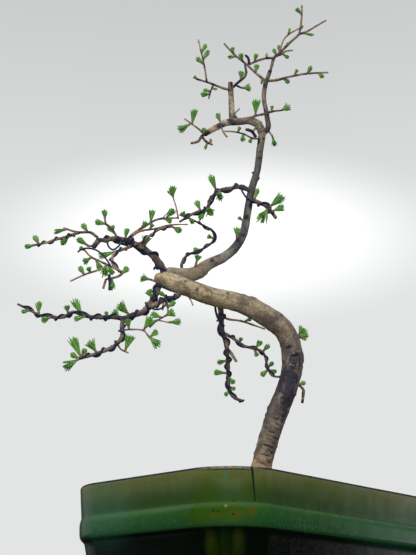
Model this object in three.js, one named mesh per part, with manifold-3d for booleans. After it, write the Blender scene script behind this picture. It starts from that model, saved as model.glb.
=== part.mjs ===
// A larch bonsai with two wired tiers of young shoots, in a deep green glazed pot with cut corners.
// Millimetres, +Z up. X runs along the pot's long side and Y along its short side. The part stands
// on its four feet, and the origin is the middle of its bounding box on the ground.
import * as THREE from 'three';
import { mergeVertices } from 'three/addons/utils/BufferGeometryUtils.js';
import Module from 'manifold-3d';

const wasm = await Module();
wasm.setup();

// ---------------------------------------------------------------------------------------------
// Driving dimensions
// ---------------------------------------------------------------------------------------------

const GAP = 0.3; // between neighbouring pieces

// Pot
const POT_LENGTH = 330;
const POT_WIDTH = 213;
const POT_HEIGHT = 156; // feet included
const CORNER_CUT = 45; // taken off each side at a corner
const CORNER_BOW = 11; // how far the cut corner bulges past a straight cut
const CORNER_STEPS = 4;
const LIP = 2.5; // rounding of the rim's outer edge
const RIM_THICKNESS = 9;
const COLLAR_DEPTH = 29; // plain collar under the rim
const BAND_DEPTH = 18; // rounded belt under the collar
const COLLAR_LEAN = 2.2; // how far the collar draws in from the rim to the belt
const BAND_PROUD = 1.6; // how far the belt stands out past the collar's foot
const NECK_INSET = 5; // where the body starts, in under the belt
const BODY_TAPER = 24.5; // how far the body draws in from the belt to its base
const FLOOR_THICKNESS = 9;
const FOOT_HEIGHT = 10;
const FOOT_LENGTH = 46; // of a corner foot, along each side
const FOOT_THICKNESS = 14;
const DRAIN_DIAMETER = 24;
const DRAIN_SPACING = 130;
const SCREEN_SIZE = 38;
const SCREEN_THICKNESS = 1.2;
const SCREEN_PITCH = 8; // of the slots in a drain screen
const SCREEN_SLOT = 4;

// Soil
const SOIL_EDGE = -5; // its edge against the pot's wall, measured from the rim
const SOIL_CROWN = 9; // its height at the trunk, measured from the rim
const TRUNK_DEPTH = 42; // how far the trunk's foot goes down into the soil
const PLANTED_X = 2.4; // where the tree's layout is centred, from the middle of the pot
const PLANTED_Y = 3.4;

// Shoots
const SPUR_RADIUS = 1.0; // short woody spur that carries a tuft
const SPUR_SIDES = 3;
const SPUR_RISE = 2.4; // bare length of the spur above the bark
const BUD_WIDTH = 4; // shoots no wider than this are closed buds with no needles
const INNER_SPREAD = 0.45; // every other needle opens only this share of a tuft's spread

// Training wire
const COIL_STEPS = 7; // steps in one turn of a wound wire, at least
const COIL_STEP = 4.5; // longest that a step may be along the limb
const DODGE_GAP = 5; // shoots that stand closer than this are passed together
const WIRE_STATIONS = 200; // places along a limb at which a coil can stand
const WIRE_LIFT = 0.7; // between a wound wire and the bark

// The tree is laid out in a front view: across to the right, depth away from the viewer, and up
// from the pot's rim, from near the middle of the pot. The front looks over a corner of the pot.
const FRONT_TURN = THREE.MathUtils.degToRad(-48);

// ---------------------------------------------------------------------------------------------
// The tree's limbs
// ---------------------------------------------------------------------------------------------

// A limb runs through its path of [across, depth, up] points, and its girth is a diameter, given at
// even shares of the path. A shoot is [share of the path, turn, lean, reach, width]: turn is in
// degrees from the right towards the top, lean is in degrees towards the viewer, reach is from the
// limb's middle to the tips, and width is across the tips. Each limb is one line of growth.
function limb(girth, path, shoots = []) {
  return { girth, path, shoots };
}

const LIMBS = {
  trunk: {
    lower: limb([27, 19, 19, 20, 20, 20, 20.5, 20, 18.5, 17.5, 16.5, 15.5], [
      [-7, -3, 4], [-2, -4, 27], [2, -5, 43], [8, -7, 62], [15, -10, 81], [23, -13, 100],
      [28, -17, 118], [28, -22, 137], [21, -27, 155], [4, -32, 168], [-19, -37, 179],
      [-49, -42, 185], [-78, -45, 195], [-99, -46, 202],
    ]),
    upper: limb([14, 12, 14, 11, 9.4, 9, 8.2, 7.8, 7.4, 7.2, 7.5, 8], [
      [-92, -45, 200], [-90, -36, 210], [-79, -29, 212], [-67, -24, 214], [-52, -19, 226],
      [-37, -15, 235], [-26, -11, 246], [-17, -5, 264], [-12, 0, 290], [-8, 4, 314], [-1, 7, 340],
      [2, 8, 363], [5, 8, 383],
    ]),
    leader: limb([5.8, 4.2], [
      [5, 8, 382], [11, 8, 389], [10, 6, 403], [7, 4, 423], [9, 2, 438], [14, 0, 453],
    ]),
    apex: limb([9.1, 5.8], [
      [5, 8, 384], [0, 5, 392], [-9, 1, 394], [-21, -3, 391], [-33, -7, 388], [-43, -11, 381],
      [-56, -15, 371],
    ]),
    snag: limb([6.5, 5.5], [
      [-27, -4, 389], [-28, -7, 410], [-29, -9, 434],
    ]),
    apex_spur: limb([2.1, 1.7], [
      [-39, -9, 385], [-37, -12, 375], [-33, -14, 368],
    ]),
    under_spur: limb([1.7, 1.4], [
      [-73, -42, 189], [-69, -44, 180], [-67, -45, 175],
    ]),
  },
  spray_crown_tip: {
    bough: limb([3.2, 2.7], [
      [14, 0, 452], [19, -1, 469], [25, 0, 475], [36, 3, 489], [48, 5, 502],
    ], [
      [0.42, 95, -15, 12, 6], [0.6, 45, 35, 5, 6],
    ]),
    top: limb([2.4, 1.8], [
      [47, 5, 501], [50, 7, 520], [51, 8, 539],
    ], [
      [0.14, 70, -20, 9, 6], [0.69, 135, 15, 10, 7],
    ]),
    right: limb([2.4, 1.7], [
      [47, 5, 501], [54, 2, 502], [60, -1, 504], [69, -3, 509], [76, -4, 513],
    ], [
      [0.11, 340, 15, 15, 4],
    ]),
    thin: limb([1.9, 1.5], [
      [24, 0, 474], [29, -5, 488], [34, -7, 493], [46, -9, 500],
    ], [
      [0.62, 75, 15, 8, 4],
    ]),
    middle: limb([2.8, 1.9], [
      [18, -1, 468], [10, -6, 465], [1, -10, 460], [-9, -14, 453],
    ], [
      [0.28, 90, -20, 8, 4], [0.78, 75, 20, 10, 7],
    ]),
    stub: limb([2.8, 2.6], [
      [-9, -14, 453], [-10, -15, 460], [-13, -16, 463],
    ]),
    short: limb([2.2, 1.6], [
      [20, -1, 470], [27, 5, 476], [32, 9, 482], [40, 12, 485],
    ], [
      [0.09, 110, -10, 11, 6], [0.44, 335, -20, 9, 6],
    ]),
  },
  spray_crown_left: {
    diagonal: limb([3.0, 1.8], [
      [10, 2, 441], [-1, 8, 455], [-12, 14, 470], [-23, 19, 483], [-35, 23, 500],
    ], [
      [0.11, 270, 20, 11, 4], [0.25, 80, -15, 12, 9], [0.55, 110, 25, 10, 8],
      [0.69, 170, -20, 11, 6], [0.76, 100, 20, 8, 7],
    ]),
  },
  spray_crown_right: {
    long: limb([3.0, 1.7], [
      [10, 2, 442], [19, -3, 440], [34, -9, 441], [52, -14, 442], [74, -20, 440],
    ], [
      [0.28, 335, -20, 9, 7], [0.47, 65, 20, 8, 6], [0.67, 65, -15, 12, 7], [0.84, 305, 20, 10, 6],
    ]),
  },
  spray_crown_low_left: {
    twig: limb([2.8, 1.9], [
      [10, 6, 405], [2, 1, 401], [-8, -5, 395],
    ], [
      [0.7, 85, 10, 19, 12],
    ]),
  },
  spray_crown_low_right: {
    twig: limb([2.8, 1.9], [
      [10, 6, 406], [18, 10, 410], [26, 14, 413],
    ], [
      [0.34, 85, 25, 7, 6], [1.0, 35, -15, 12, 11],
    ]),
  },
  spray_crown_under: {
    twig: limb([2.3, 1.9], [
      [12, 8, 385], [15, 4, 378], [17, 2, 370],
    ], [
      [0.59, 280, 10, 12, 8],
    ]),
  },
  spray_snag_left: {
    bough: limb([2.8, 1.9], [
      [-29, -9, 425], [-39, -15, 425], [-51, -21, 427], [-65, -28, 428],
    ], [
      [0.97, 145, 20, 5, 6],
    ]),
    riser: limb([2.0, 1.4], [
      [-54, -23, 428], [-57, -26, 447], [-63, -29, 474],
    ], [
      [0.39, 140, 15, 12, 7], [0.51, 65, -10, 15, 7], [0.68, 60, 15, 11, 6],
    ]),
    hanger: limb([2.0, 1.5], [
      [-47, -19, 426], [-50, -16, 420], [-52, -14, 412],
    ], [
      [0.26, 335, 25, 7, 4], [0.49, 150, -25, 10, 6], [0.65, 195, 15, 11, 7],
    ]),
  },
  spray_snag_right: {
    bough: limb([3.0, 2.2], [
      [-29, -9, 426], [-21, -3, 437], [-12, 3, 450], [-13, 7, 467],
    ], [
      [0.41, 85, 15, 11, 9],
    ]),
    stub: limb([2.1, 1.9], [
      [-23, -5, 433], [-17, -1, 432],
    ], [
      [1.0, 10, -15, 11, 12],
    ]),
  },
  shoot_snag: {
    twig: limb([1.6, 1.3], [
      [-27, -4, 396], [-24, -1, 402], [-19, 2, 409],
    ], [
      [0.31, 295, 25, 8, 4],
    ]),
  },
  spray_apex_end: {
    end: limb([3.5, 2.3], [
      [-55, -15, 372], [-59, -18, 367], [-63, -22, 359], [-70, -26, 355],
    ], [
      [0.24, 70, 25, 9, 7],
    ]),
    fork: limb([2.7, 2.1], [
      [-59, -18, 367], [-55, -16, 362], [-48, -14, 359],
    ], [
      [0.61, 250, 10, 10, 4], [0.83, 85, -15, 7, 4],
    ]),
    thin: limb([2.1, 1.3], [
      [-57, -16, 370], [-61, -22, 372], [-69, -27, 376], [-77, -30, 381],
    ], [
      [0.65, 80, 10, 18, 9], [0.69, 205, -10, 16, 11],
    ]),
  },
  shoot_apex: {
    twig: limb([1.6, 1.6], [
      [-39, -9, 385], [-42, -9, 395],
    ], [
      [0.35, 105, -10, 11, 8],
    ]),
  },
  spray_apex_low: {
    thin: limb([2.1, 1.4], [
      [3, 8, 377], [-5, 2, 374], [-16, -3, 377], [-27, -8, 377], [-36, -11, 376],
    ], [
      [0.28, 245, -30, 6, 6], [0.51, 265, 15, 11, 7], [0.65, 65, 45, 7, 6],
    ]),
    stub: limb([3.4, 2.9], [
      [-2, 5, 377], [-7, 1, 382], [-13, -1, 383],
    ], [
      [0.47, 55, -15, 20, 6],
    ]),
  },
  spray_middle_left: {
    bough: limb([5.0, 2.4], [
      [-9, 3, 315], [-20, -4, 316], [-30, -9, 312], [-41, -14, 307], [-50, -18, 297],
      [-54, -20, 285], [-66, -24, 279], [-76, -28, 271], [-81, -30, 267],
    ], [
      [0.37, 265, 35, 16, 11], [0.42, 110, 10, 21, 9], [0.64, 290, 40, 13, 14],
      [0.66, 240, 10, 16, 7], [0.73, 110, -10, 14, 8], [0.89, 320, -25, 10, 7],
      [0.92, 130, 25, 8, 9],
    ]),
  },
  spray_middle_right: {
    bough: limb([5.2, 3.4], [
      [-10, 3, 305], [-2, -4, 299], [6, -9, 293], [12, -13, 284], [16, -15, 277],
    ], [
      [0.17, 75, -15, 18, 6], [0.64, 245, 25, 22, 17], [0.65, 40, 10, 22, 15],
      [0.78, 25, -10, 16, 11],
    ]),
  },
  shoot_middle: {
    twig: limb([1.8, 1.6], [
      [-14, -3, 277], [-19, -8, 278],
    ], [
      [0.57, 145, 15, 7, 6],
    ]),
  },
  spray_loop: {
    bough: limb([3.1, 2.1], [
      [-76, -26, 212], [-79, -16, 227], [-74, -8, 239], [-58, 2, 250], [-47, 6, 261],
      [-48, 8, 272], [-56, 8, 277], [-65, 7, 282], [-71, 5, 284],
    ], [
      [0.48, 165, -20, 9, 6], [0.67, 160, 20, 8, 8],
    ]),
  },
  shoot_fork: {
    twig: limb([2.6, 2.2], [
      [-67, -25, 216], [-65, -29, 221], [-64, -31, 224],
    ], [
      [0.8, 75, 15, 10, 11],
    ]),
  },
  shoot_bend: {
    twig: limb([1.8, 1.6], [
      [-20, -9, 252], [-24, -14, 256],
    ], [
      [1.0, 85, 10, 12, 9],
    ]),
  },
  spray_left: {
    bough: limb([7.4, 4.0], [
      [-93, -40, 207], [-99, -44, 217], [-107, -48, 225], [-118, -53, 232], [-131, -58, 236],
      [-142, -62, 237], [-152, -65, 234], [-159, -67, 234],
    ], [
      [0.41, 75, 35, 14, 14], [0.66, 80, 15, 13, 8],
    ]),
    stub: limb([5.7, 4.8], [
      [-157, -66, 234], [-162, -68, 226],
    ]),
    stub_end: limb([2.3, 2.1], [
      [-162, -68, 227], [-168, -69, 227],
    ], [
      [0.77, 150, 15, 14, 8],
    ]),
    upper: limb([2.9, 1.9], [
      [-158, -67, 236], [-165, -70, 240], [-177, -74, 239], [-190, -77, 242],
    ], [
      [0.32, 120, -15, 12, 8], [0.9, 200, 15, 14, 7],
    ]),
    twig: limb([2.5, 1.6], [
      [-139, -61, 236], [-145, -64, 246], [-151, -66, 251], [-152, -67, 257],
    ], [
      [0.25, 130, -15, 12, 8], [0.38, 95, 40, 6, 6], [0.73, 160, -15, 13, 8], [0.92, 95, 10, 10, 8],
    ]),
  },
  spray_left_tip: {
    bough: limb([2.9, 1.9], [
      [-175, -73, 239], [-183, -78, 234], [-194, -82, 229], [-205, -85, 224], [-215, -87, 221],
    ], [
      [0.25, 235, 15, 13, 8], [0.91, 120, -15, 12, 7], [1.0, 195, 10, 10, 6],
    ]),
  },
  spray_hub_upper: {
    bough: limb([2.9, 1.6], [
      [-130, -58, 238], [-123, -56, 246], [-113, -53, 254], [-102, -49, 262], [-82, -43, 266],
    ], [
      [0.3, 50, 20, 9, 8], [0.5, 85, -10, 16, 9], [0.74, 345, -20, 10, 7], [0.79, 45, 20, 13, 9],
    ]),
    bare: limb([1.4, 1.2], [
      [-98, -48, 263], [-89, -46, 274],
    ]),
    riser: limb([1.8, 1.5], [
      [-82, -43, 265], [-84, -42, 277], [-88, -40, 291],
    ], [
      [0.92, 95, 10, 12, 11], [1.0, 130, -20, 9, 3],
    ]),
  },
  spray_hub_lower: {
    twig: limb([2.5, 1.4], [
      [-127, -59, 240], [-118, -61, 245], [-104, -62, 247], [-89, -62, 251], [-72, -61, 252],
    ], [
      [0.34, 55, 25, 7, 8],
    ]),
  },
  spray_hub_wired: {
    bough: limb([2.7, 1.9], [
      [-124, -57, 232], [-116, -66, 232], [-107, -70, 238], [-98, -72, 243], [-87, -73, 245],
    ], [
      [1.0, 325, 15, 12, 8],
    ]),
  },
  spray_front: {
    bough: limb([2.9, 2.8], [
      [-126, -57, 231], [-135, -66, 224], [-141, -72, 219], [-143, -76, 210], [-140, -80, 202],
      [-133, -83, 195],
    ], [
      [0.39, 200, 10, 20, 9],
    ]),
    brown: limb([2.4, 1.7], [
      [-132, -84, 195], [-142, -88, 199], [-154, -91, 204], [-161, -93, 207], [-168, -95, 214],
    ], [
      [0.36, 300, -15, 11, 7], [0.41, 270, 30, 15, 13], [0.65, 295, -20, 12, 8],
      [0.75, 220, 20, 10, 9], [0.97, 150, 0, 6, 6],
    ]),
    left: limb([2.2, 1.5], [
      [-146, -89, 201], [-151, -94, 195], [-165, -99, 188], [-178, -103, 180],
    ], [
      [0.5, 115, 40, 6, 7], [0.65, 120, -15, 11, 7],
    ]),
    low: limb([2.8, 2.0], [
      [-129, -82, 200], [-135, -86, 191], [-147, -90, 186],
    ], [
      [0.41, 50, -15, 12, 8], [0.77, 275, 15, 14, 7],
    ]),
    stub: limb([2.2, 2.2], [
      [-147, -90, 186], [-149, -91, 177],
    ]),
  },
  shoot_knuckle: {
    twig: limb([2.9, 1.9], [
      [-99, -46, 197], [-108, -52, 199],
    ], [
      [0.91, 175, 15, 11, 11],
    ]),
  },
  spray_low_left: {
    bough: limb([6.2, 4.4], [
      [-100, -44, 198], [-102, -46, 188], [-107, -47, 178], [-112, -48, 170], [-117, -49, 166],
      [-126, -50, 163], [-134, -50, 160],
    ], [
      [0.34, 120, 20, 11, 11], [0.85, 140, 15, 18, 15],
    ]),
    root: limb([4.8, 4.2], [
      [-79, -42, 194], [-82, -46, 184], [-94, -48, 180], [-102, -49, 175], [-111, -49, 170],
    ], [
      [0.47, 150, 25, 12, 6],
    ]),
    twig: limb([2.3, 1.5], [
      [-92, -48, 180], [-91, -52, 170], [-91, -54, 164], [-100, -56, 157],
    ], [
      [0.34, 45, -15, 10, 8], [0.72, 20, 20, 11, 11], [0.84, 155, -15, 13, 9],
      [0.99, 200, -20, 13, 9],
    ]),
    side: limb([1.4, 1.2], [
      [-100, -56, 157], [-89, -58, 154],
    ], [
      [0.92, 10, -15, 13, 9],
    ]),
    stub: limb([2.1, 2.1], [
      [-95, -48, 179], [-96, -50, 169],
    ]),
  },
  spray_left_arm: {
    bough: limb([4.4, 2.4], [
      [-132, -50, 160], [-144, -46, 163], [-159, -42, 164], [-172, -38, 167], [-183, -33, 172],
      [-193, -29, 168], [-207, -24, 170], [-219, -18, 174], [-230, -14, 181], [-241, -11, 187],
    ], [
      [0.04, 130, -20, 12, 9], [0.15, 100, -25, 7, 6], [0.32, 200, 15, 14, 7],
      [0.36, 120, -10, 20, 11], [0.5, 100, 20, 10, 9], [0.65, 210, 25, 12, 9],
      [0.78, 95, -10, 15, 9], [0.87, 195, 15, 10, 6],
    ]),
  },
  spray_down_arm: {
    bough: limb([4.4, 2.8], [
      [-133, -50, 161], [-134, -53, 152], [-133, -57, 142], [-138, -61, 132], [-146, -65, 126],
      [-158, -69, 120], [-171, -73, 115],
    ], [
      [0.75, 125, 10, 15, 14], [0.97, 115, -10, 24, 13], [0.98, 60, 20, 11, 7],
      [0.99, 215, 15, 18, 14], [1.0, 145, -20, 11, 7],
    ]),
    spur: limb([1.9, 1.4], [
      [-137, -61, 132], [-134, -58, 128], [-127, -56, 125],
    ], [
      [0.73, 70, 10, 18, 13],
    ]),
    twig: limb([1.7, 1.5], [
      [-133, -54, 148], [-124, -59, 147], [-113, -62, 145], [-107, -65, 137],
    ], [
      [0.22, 100, 15, 11, 8], [0.67, 55, 20, 16, 12], [0.91, 315, 10, 16, 11],
      [0.98, 45, -20, 12, 8],
    ]),
  },
  spray_droop: {
    bough: limb([6.0, 2.4], [
      [-41, -38, 183], [-40, -24, 174], [-39, -14, 159], [-35, -8, 148], [-33, -1, 130],
      [-33, 5, 114], [-29, 10, 99], [-19, 14, 95],
    ], [
      [0.58, 195, 15, 12, 7], [0.69, 175, -10, 15, 8], [0.72, 310, 15, 11, 7],
      [0.81, 345, -30, 8, 6], [0.84, 235, 25, 9, 6],
    ]),
    stub: limb([2.9, 2.7], [
      [-32, -6, 141], [-25, -9, 129],
    ]),
    short: limb([2.0, 1.9], [
      [-40, -19, 169], [-44, -23, 166],
    ]),
    thin: limb([2.5, 1.5], [
      [-40, -23, 173], [-34, -14, 171], [-20, -6, 171], [4, 2, 165],
    ], [
      [0.57, 20, 20, 9, 6],
    ]),
  },
  spray_droop_right: {
    bough: limb([3.3, 2.0], [
      [-38, -13, 157], [-29, -6, 154], [-17, 2, 148], [2, 10, 143], [6, 14, 132], [11, 16, 121],
      [21, 17, 120],
    ], [
      [0.26, 70, 30, 6, 7], [0.46, 295, -25, 9, 7], [0.47, 55, -15, 12, 8], [0.57, 45, 20, 11, 7],
      [0.77, 50, -20, 9, 6], [0.79, 220, -15, 11, 7], [0.8, 340, 20, 9, 6],
    ]),
  },
  shoot_elbow: {
    twig: limb([2.5, 2.0], [
      [24, -22, 147], [34, -16, 152], [43, -12, 150],
    ], [
      [0.6, 55, 15, 12, 13], [0.66, 20, -15, 11, 9],
    ]),
  },
  shoot_heel: {
    twig: limb([2.5, 2.1], [
      [26, -14, 109], [35, -8, 106], [40, -5, 101], [39, -3, 91],
    ], [
      [0.4, 30, -20, 8, 7],
    ]),
  },
};

// The limb or limbs that each spray is seated on, where that isn't the trunk.
const SEATS = {
  spray_left_tip: ['spray_left'],
  spray_hub_upper: ['spray_left'],
  spray_hub_lower: ['spray_left', 'spray_hub_upper'],
  spray_hub_wired: ['spray_left'],
  spray_front: ['spray_left'],
  spray_left_arm: ['spray_low_left'],
  spray_down_arm: ['spray_low_left', 'spray_left_arm'],
  spray_droop_right: ['spray_droop'],
};

// Surface roots at the trunk's foot, each [turn in plan, reach, girth].
const ROOTS = [
  [20, 27, 7.4],
  [95, 24, 6],
  [170, 30, 7.4],
  [265, 28, 7],
];

// ---------------------------------------------------------------------------------------------
// Training wires
// ---------------------------------------------------------------------------------------------

// A wire is wound on one limb after another: [spray, limb, first share, last share, turns].
const WIRES = {
  wire_left: { gauge: 2.4, wound: [['spray_left', 'bough', 0.12, 0.9, 3]] },
  wire_left_tip: { gauge: 1.4, wound: [['spray_left_tip', 'bough', 0.12, 0.94, 2.5]] },
  wire_low_left: { gauge: 2.0, wound: [['spray_low_left', 'bough', 0.16, 0.92, 3]] },
  wire_low_root: { gauge: 1.6, wound: [['spray_low_left', 'root', 0.3, 0.8, 1.5]] },
  wire_left_arm: { gauge: 1.8, wound: [['spray_left_arm', 'bough', 0.08, 0.94, 5]] },
  wire_down_arm: { gauge: 1.8, wound: [['spray_down_arm', 'bough', 0.1, 0.92, 3.5]] },
  wire_droop: { gauge: 2.0, wound: [['spray_droop', 'bough', 0.16, 0.94, 3.5]] },
  wire_droop_right: { gauge: 1.5, wound: [['spray_droop_right', 'bough', 0.08, 0.93, 3.5]] },
  wire_middle_left: { gauge: 2.0, wound: [['spray_middle_left', 'bough', 0.1, 0.92, 3.5]] },
  wire_middle_right: { gauge: 2.0, wound: [['spray_middle_right', 'bough', 0.2, 0.9, 1.5]] },
  wire_loop: { gauge: 1.4, wound: [['spray_loop', 'bough', 0.2, 0.92, 3]] },
  wire_hub: { gauge: 1.5, wound: [['spray_hub_wired', 'bough', 0.22, 0.92, 2.5]] },
  wire_front: { gauge: 1.6, wound: [['spray_front', 'bough', 0.12, 0.92, 2]] },
};

// ---------------------------------------------------------------------------------------------
// Solids
// ---------------------------------------------------------------------------------------------

/** A closed three.js geometry as a solid that can be joined and cut. */
function solid(geometry) {
  geometry.deleteAttribute('normal');
  geometry.deleteAttribute('uv');
  const welded = mergeVertices(geometry);
  const corners = welded.index.array;
  const triVerts = [];
  for (let i = 0; i < corners.length; i += 3) {
    const [a, b, c] = corners.slice(i, i + 3);
    if (a !== b && b !== c && c !== a) triVerts.push(a, b, c);
  }
  const vertProperties = welded.attributes.position.array;
  return new wasm.Manifold(
    new wasm.Mesh({ numProp: 3, vertProperties, triVerts: new Uint32Array(triVerts) }),
  );
}

/** The largest of the bodies that a cut leaves, without loose scraps. */
function largestBody(cut) {
  const bodies = cut.decompose();
  return bodies.reduce((best, body) => (body.volume() > best.volume() ? body : best));
}

/** A solid's triangles as a three.js geometry with flat faces. */
function geometryOf(body) {
  const mesh = body.getMesh();
  const geometry = new THREE.BufferGeometry();
  geometry.setAttribute('position', new THREE.BufferAttribute(mesh.vertProperties, mesh.numProp));
  geometry.setIndex(new THREE.BufferAttribute(mesh.triVerts, 1));
  const flat = geometry.toNonIndexed();
  flat.computeVertexNormals();
  return flat;
}

// ---------------------------------------------------------------------------------------------
// Limbs, shoots and needles
// ---------------------------------------------------------------------------------------------

const TWIG_GIRTH = 2.7; // anything thinner is plain twig
const TWIG_RINGS = 14; // spacing of the rings along a twig
const BOUGH_RINGS = 10;
const RING_PER_GIRTH = 0.5; // thick wood has its rings further apart
const TIP_ROUNDING = 0.5; // of the tip's radius

function curveOf(path) {
  const points = path.map((point) => new THREE.Vector3(...point));
  return new THREE.CatmullRomCurve3(points, false, 'centripetal');
}

/** The value at a share of a list whose entries are evenly spaced. */
function evenly(list, share) {
  const place = share * (list.length - 1);
  const before = Math.min(Math.floor(place), list.length - 2);
  return THREE.MathUtils.lerp(list[before], list[before + 1], place - before);
}

function sidesFor(girth) {
  if (girth > 14) return 10;
  if (girth > 7.5) return 7;
  if (girth > 4) return 5;
  return girth > TWIG_GIRTH ? 4 : 3;
}

/** Bends a rod, lathed along +Y from 0 to length, onto a curve of that length. */
function bendOnto(rod, curve, length, steps) {
  const frames = curve.computeFrenetFrames(steps, false);
  const position = rod.attributes.position;
  for (let i = 0; i < position.count; i += 1) {
    const along = position.getY(i) / length;
    const ring = THREE.MathUtils.clamp(Math.round(along * steps), 0, steps);
    const place = curve.getPointAt(ring / steps);
    place.addScaledVector(frames.binormals[ring], position.getX(i));
    place.addScaledVector(frames.normals[ring], position.getZ(i));
    place.addScaledVector(frames.tangents[ring], (along - ring / steps) * length);
    position.setXYZ(i, place.x, place.y, place.z);
  }
  return rod;
}

/** How many lengths a limb's wood is made of. */
function ringSteps({ girth, path }) {
  const plain = girth[0] < TWIG_GIRTH ? TWIG_RINGS : BOUGH_RINGS;
  const spacing = Math.max(plain, girth[0] * RING_PER_GIRTH);
  return Math.max(2, Math.round(curveOf(path).getLength() / spacing));
}

/** The middle of a limb's wood at a share of its length. */
function pithAt(owner, share) {
  const curve = curveOf(owner.path);
  const steps = ringSteps(owner);
  const ring = Math.min(Math.floor(share * steps), steps - 1);
  const [from, to] = [curve.getPointAt(ring / steps), curve.getPointAt((ring + 1) / steps)];
  return from.lerp(to, share * steps - ring);
}

/** A limb's wood: a tapering rod with a rounded tip, made larger all round by margin. */
function woodOf(owner, margin = 0) {
  const { girth, path } = owner;
  const curve = curveOf(path);
  const length = curve.getLength();
  const steps = ringSteps(owner);
  const profile = [new THREE.Vector2(0, 0)];
  for (let ring = 0; ring <= steps; ring += 1) {
    const radius = evenly(girth, ring / steps) / 2 + margin;
    profile.push(new THREE.Vector2(radius, (ring / steps) * length));
  }
  const tipRadius = girth.at(-1) / 2;
  profile.push(new THREE.Vector2(0, length + tipRadius * TIP_ROUNDING + margin));
  const rod = new THREE.LatheGeometry(profile, sidesFor(girth[0]));
  return solid(bendOnto(rod, curve, length, steps));
}

function needlesFor(width) {
  if (width <= BUD_WIDTH) return 0;
  if (width <= 8) return 4;
  return width <= 10 ? 5 : 7;
}

/** Where a shoot stands on its limb and which way it points. */
function shootPose(owner, [share, turn, lean]) {
  const up = THREE.MathUtils.degToRad(turn);
  const towards = THREE.MathUtils.degToRad(lean);
  const direction = new THREE.Vector3(
    Math.cos(up) * Math.cos(towards),
    -Math.sin(towards),
    Math.sin(up) * Math.cos(towards),
  );
  return { base: pithAt(owner, share), direction };
}

/** Gathers a ring of a lathed rod into a few corners, which keeps the rod's stem plain. */
function gatherRing(rod, rings, ring, corners) {
  const position = rod.attributes.position;
  const columns = position.count / rings;
  const radius = position.getZ(ring);
  for (let column = 0; column < columns; column += 1) {
    const corner = Math.floor((column / (columns - 1)) * corners) % corners;
    const angle = (corner / corners) * 2 * Math.PI;
    const point = column * rings + ring;
    position.setX(point, radius * Math.sin(angle));
    position.setZ(point, radius * Math.cos(angle));
  }
}

/** Draws every other point of a rod's shoulder ring out to the tip of a needle. */
function drawNeedles(rod, rings, shoulder, needles, { root, reach, width }) {
  const position = rod.attributes.position;
  const spread = Math.atan2(width / 2, reach - root);
  for (let column = 0; column <= 2 * needles; column += 2) {
    const needle = (column / 2) % needles;
    const tilt = spread * (needle % 2 === 0 ? 1 : INNER_SPREAD);
    const outwards = (needle / needles) * 2 * Math.PI;
    const fromAxis = (reach - root) * Math.tan(tilt);
    const tip = column * rings + shoulder;
    position.setXYZ(tip, fromAxis * Math.sin(outwards), reach, fromAxis * Math.cos(outwards));
  }
}

/** One shoot: a woody spur and a slim bud core in one rod, with needles drawn out of it. */
function shootSolid(owner, shoot) {
  const [share, , , reach, width] = shoot;
  const { base, direction } = shootPose(owner, shoot);
  const bark = evenly(owner.girth, share) / 2;
  const spur = Math.min(bark + SPUR_RISE, reach * 0.6);
  const needles = needlesFor(width);
  const profile = [
    new THREE.Vector2(0, 0),
    new THREE.Vector2(SPUR_RADIUS, 0),
    new THREE.Vector2(SPUR_RADIUS * 1.2, spur),
  ];
  if (needles > 0) profile.push(new THREE.Vector2(SPUR_RADIUS * 0.9, spur + 1));
  profile.push(new THREE.Vector2(0, needles > 0 ? (spur + reach) / 2 : reach));
  const rod = new THREE.LatheGeometry(profile, needles > 0 ? 2 * needles : SPUR_SIDES);
  const shoulder = profile.length - 2;
  if (needles > 0) {
    gatherRing(rod, profile.length, 1, SPUR_SIDES);
    gatherRing(rod, profile.length, 2, SPUR_SIDES);
    drawNeedles(rod, profile.length, shoulder, needles, { root: spur, reach, width });
  }
  rod.applyQuaternion(new THREE.Quaternion().setFromUnitVectors(THREE.Object3D.DEFAULT_UP, direction));
  rod.translate(base.x, base.y, base.z);
  return solid(rod);
}

// ---------------------------------------------------------------------------------------------
// Wire coils
// ---------------------------------------------------------------------------------------------

/** The shoots and side limbs of a limb, each with its share of the way and its direction. */
function outgrowths(owner) {
  const shoots = owner.shoots.map((shoot) => ({
    share: shoot[0],
    direction: shootPose(owner, shoot).direction,
  }));
  const curve = curveOf(owner.path);
  const others = Object.values(LIMBS).flatMap((limbs) => Object.values(limbs));
  const sides = others.filter((other) => other !== owner).map(({ path }) => {
    const [base, next] = path.slice(0, 2).map((point) => new THREE.Vector3(...point));
    const shares = Array.from({ length: WIRE_STATIONS + 1 }, (_, i) => i / WIRE_STATIONS);
    const distance = (share) => curve.getPointAt(share).distanceTo(base);
    const share = shares.reduce((best, each) => (distance(each) < distance(best) ? each : best));
    const touches = distance(share) < evenly(owner.girth, share) / 2 + 1.5;
    return { share, touches, direction: next.sub(base).normalize() };
  });
  return [...shoots, ...sides.filter(({ touches }) => touches)];
}

/** The angles round a limb, in its own frame, at which a wire must be on the far side. */
function shootAngles(owner, frames, steps) {
  return outgrowths(owner).map(({ share, direction }) => {
    const ring = Math.round(share * steps);
    const angle = Math.atan2(direction.dot(frames.normals[ring]), direction.dot(frames.binormals[ring]));
    return { share, angle };
  });
}

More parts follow.
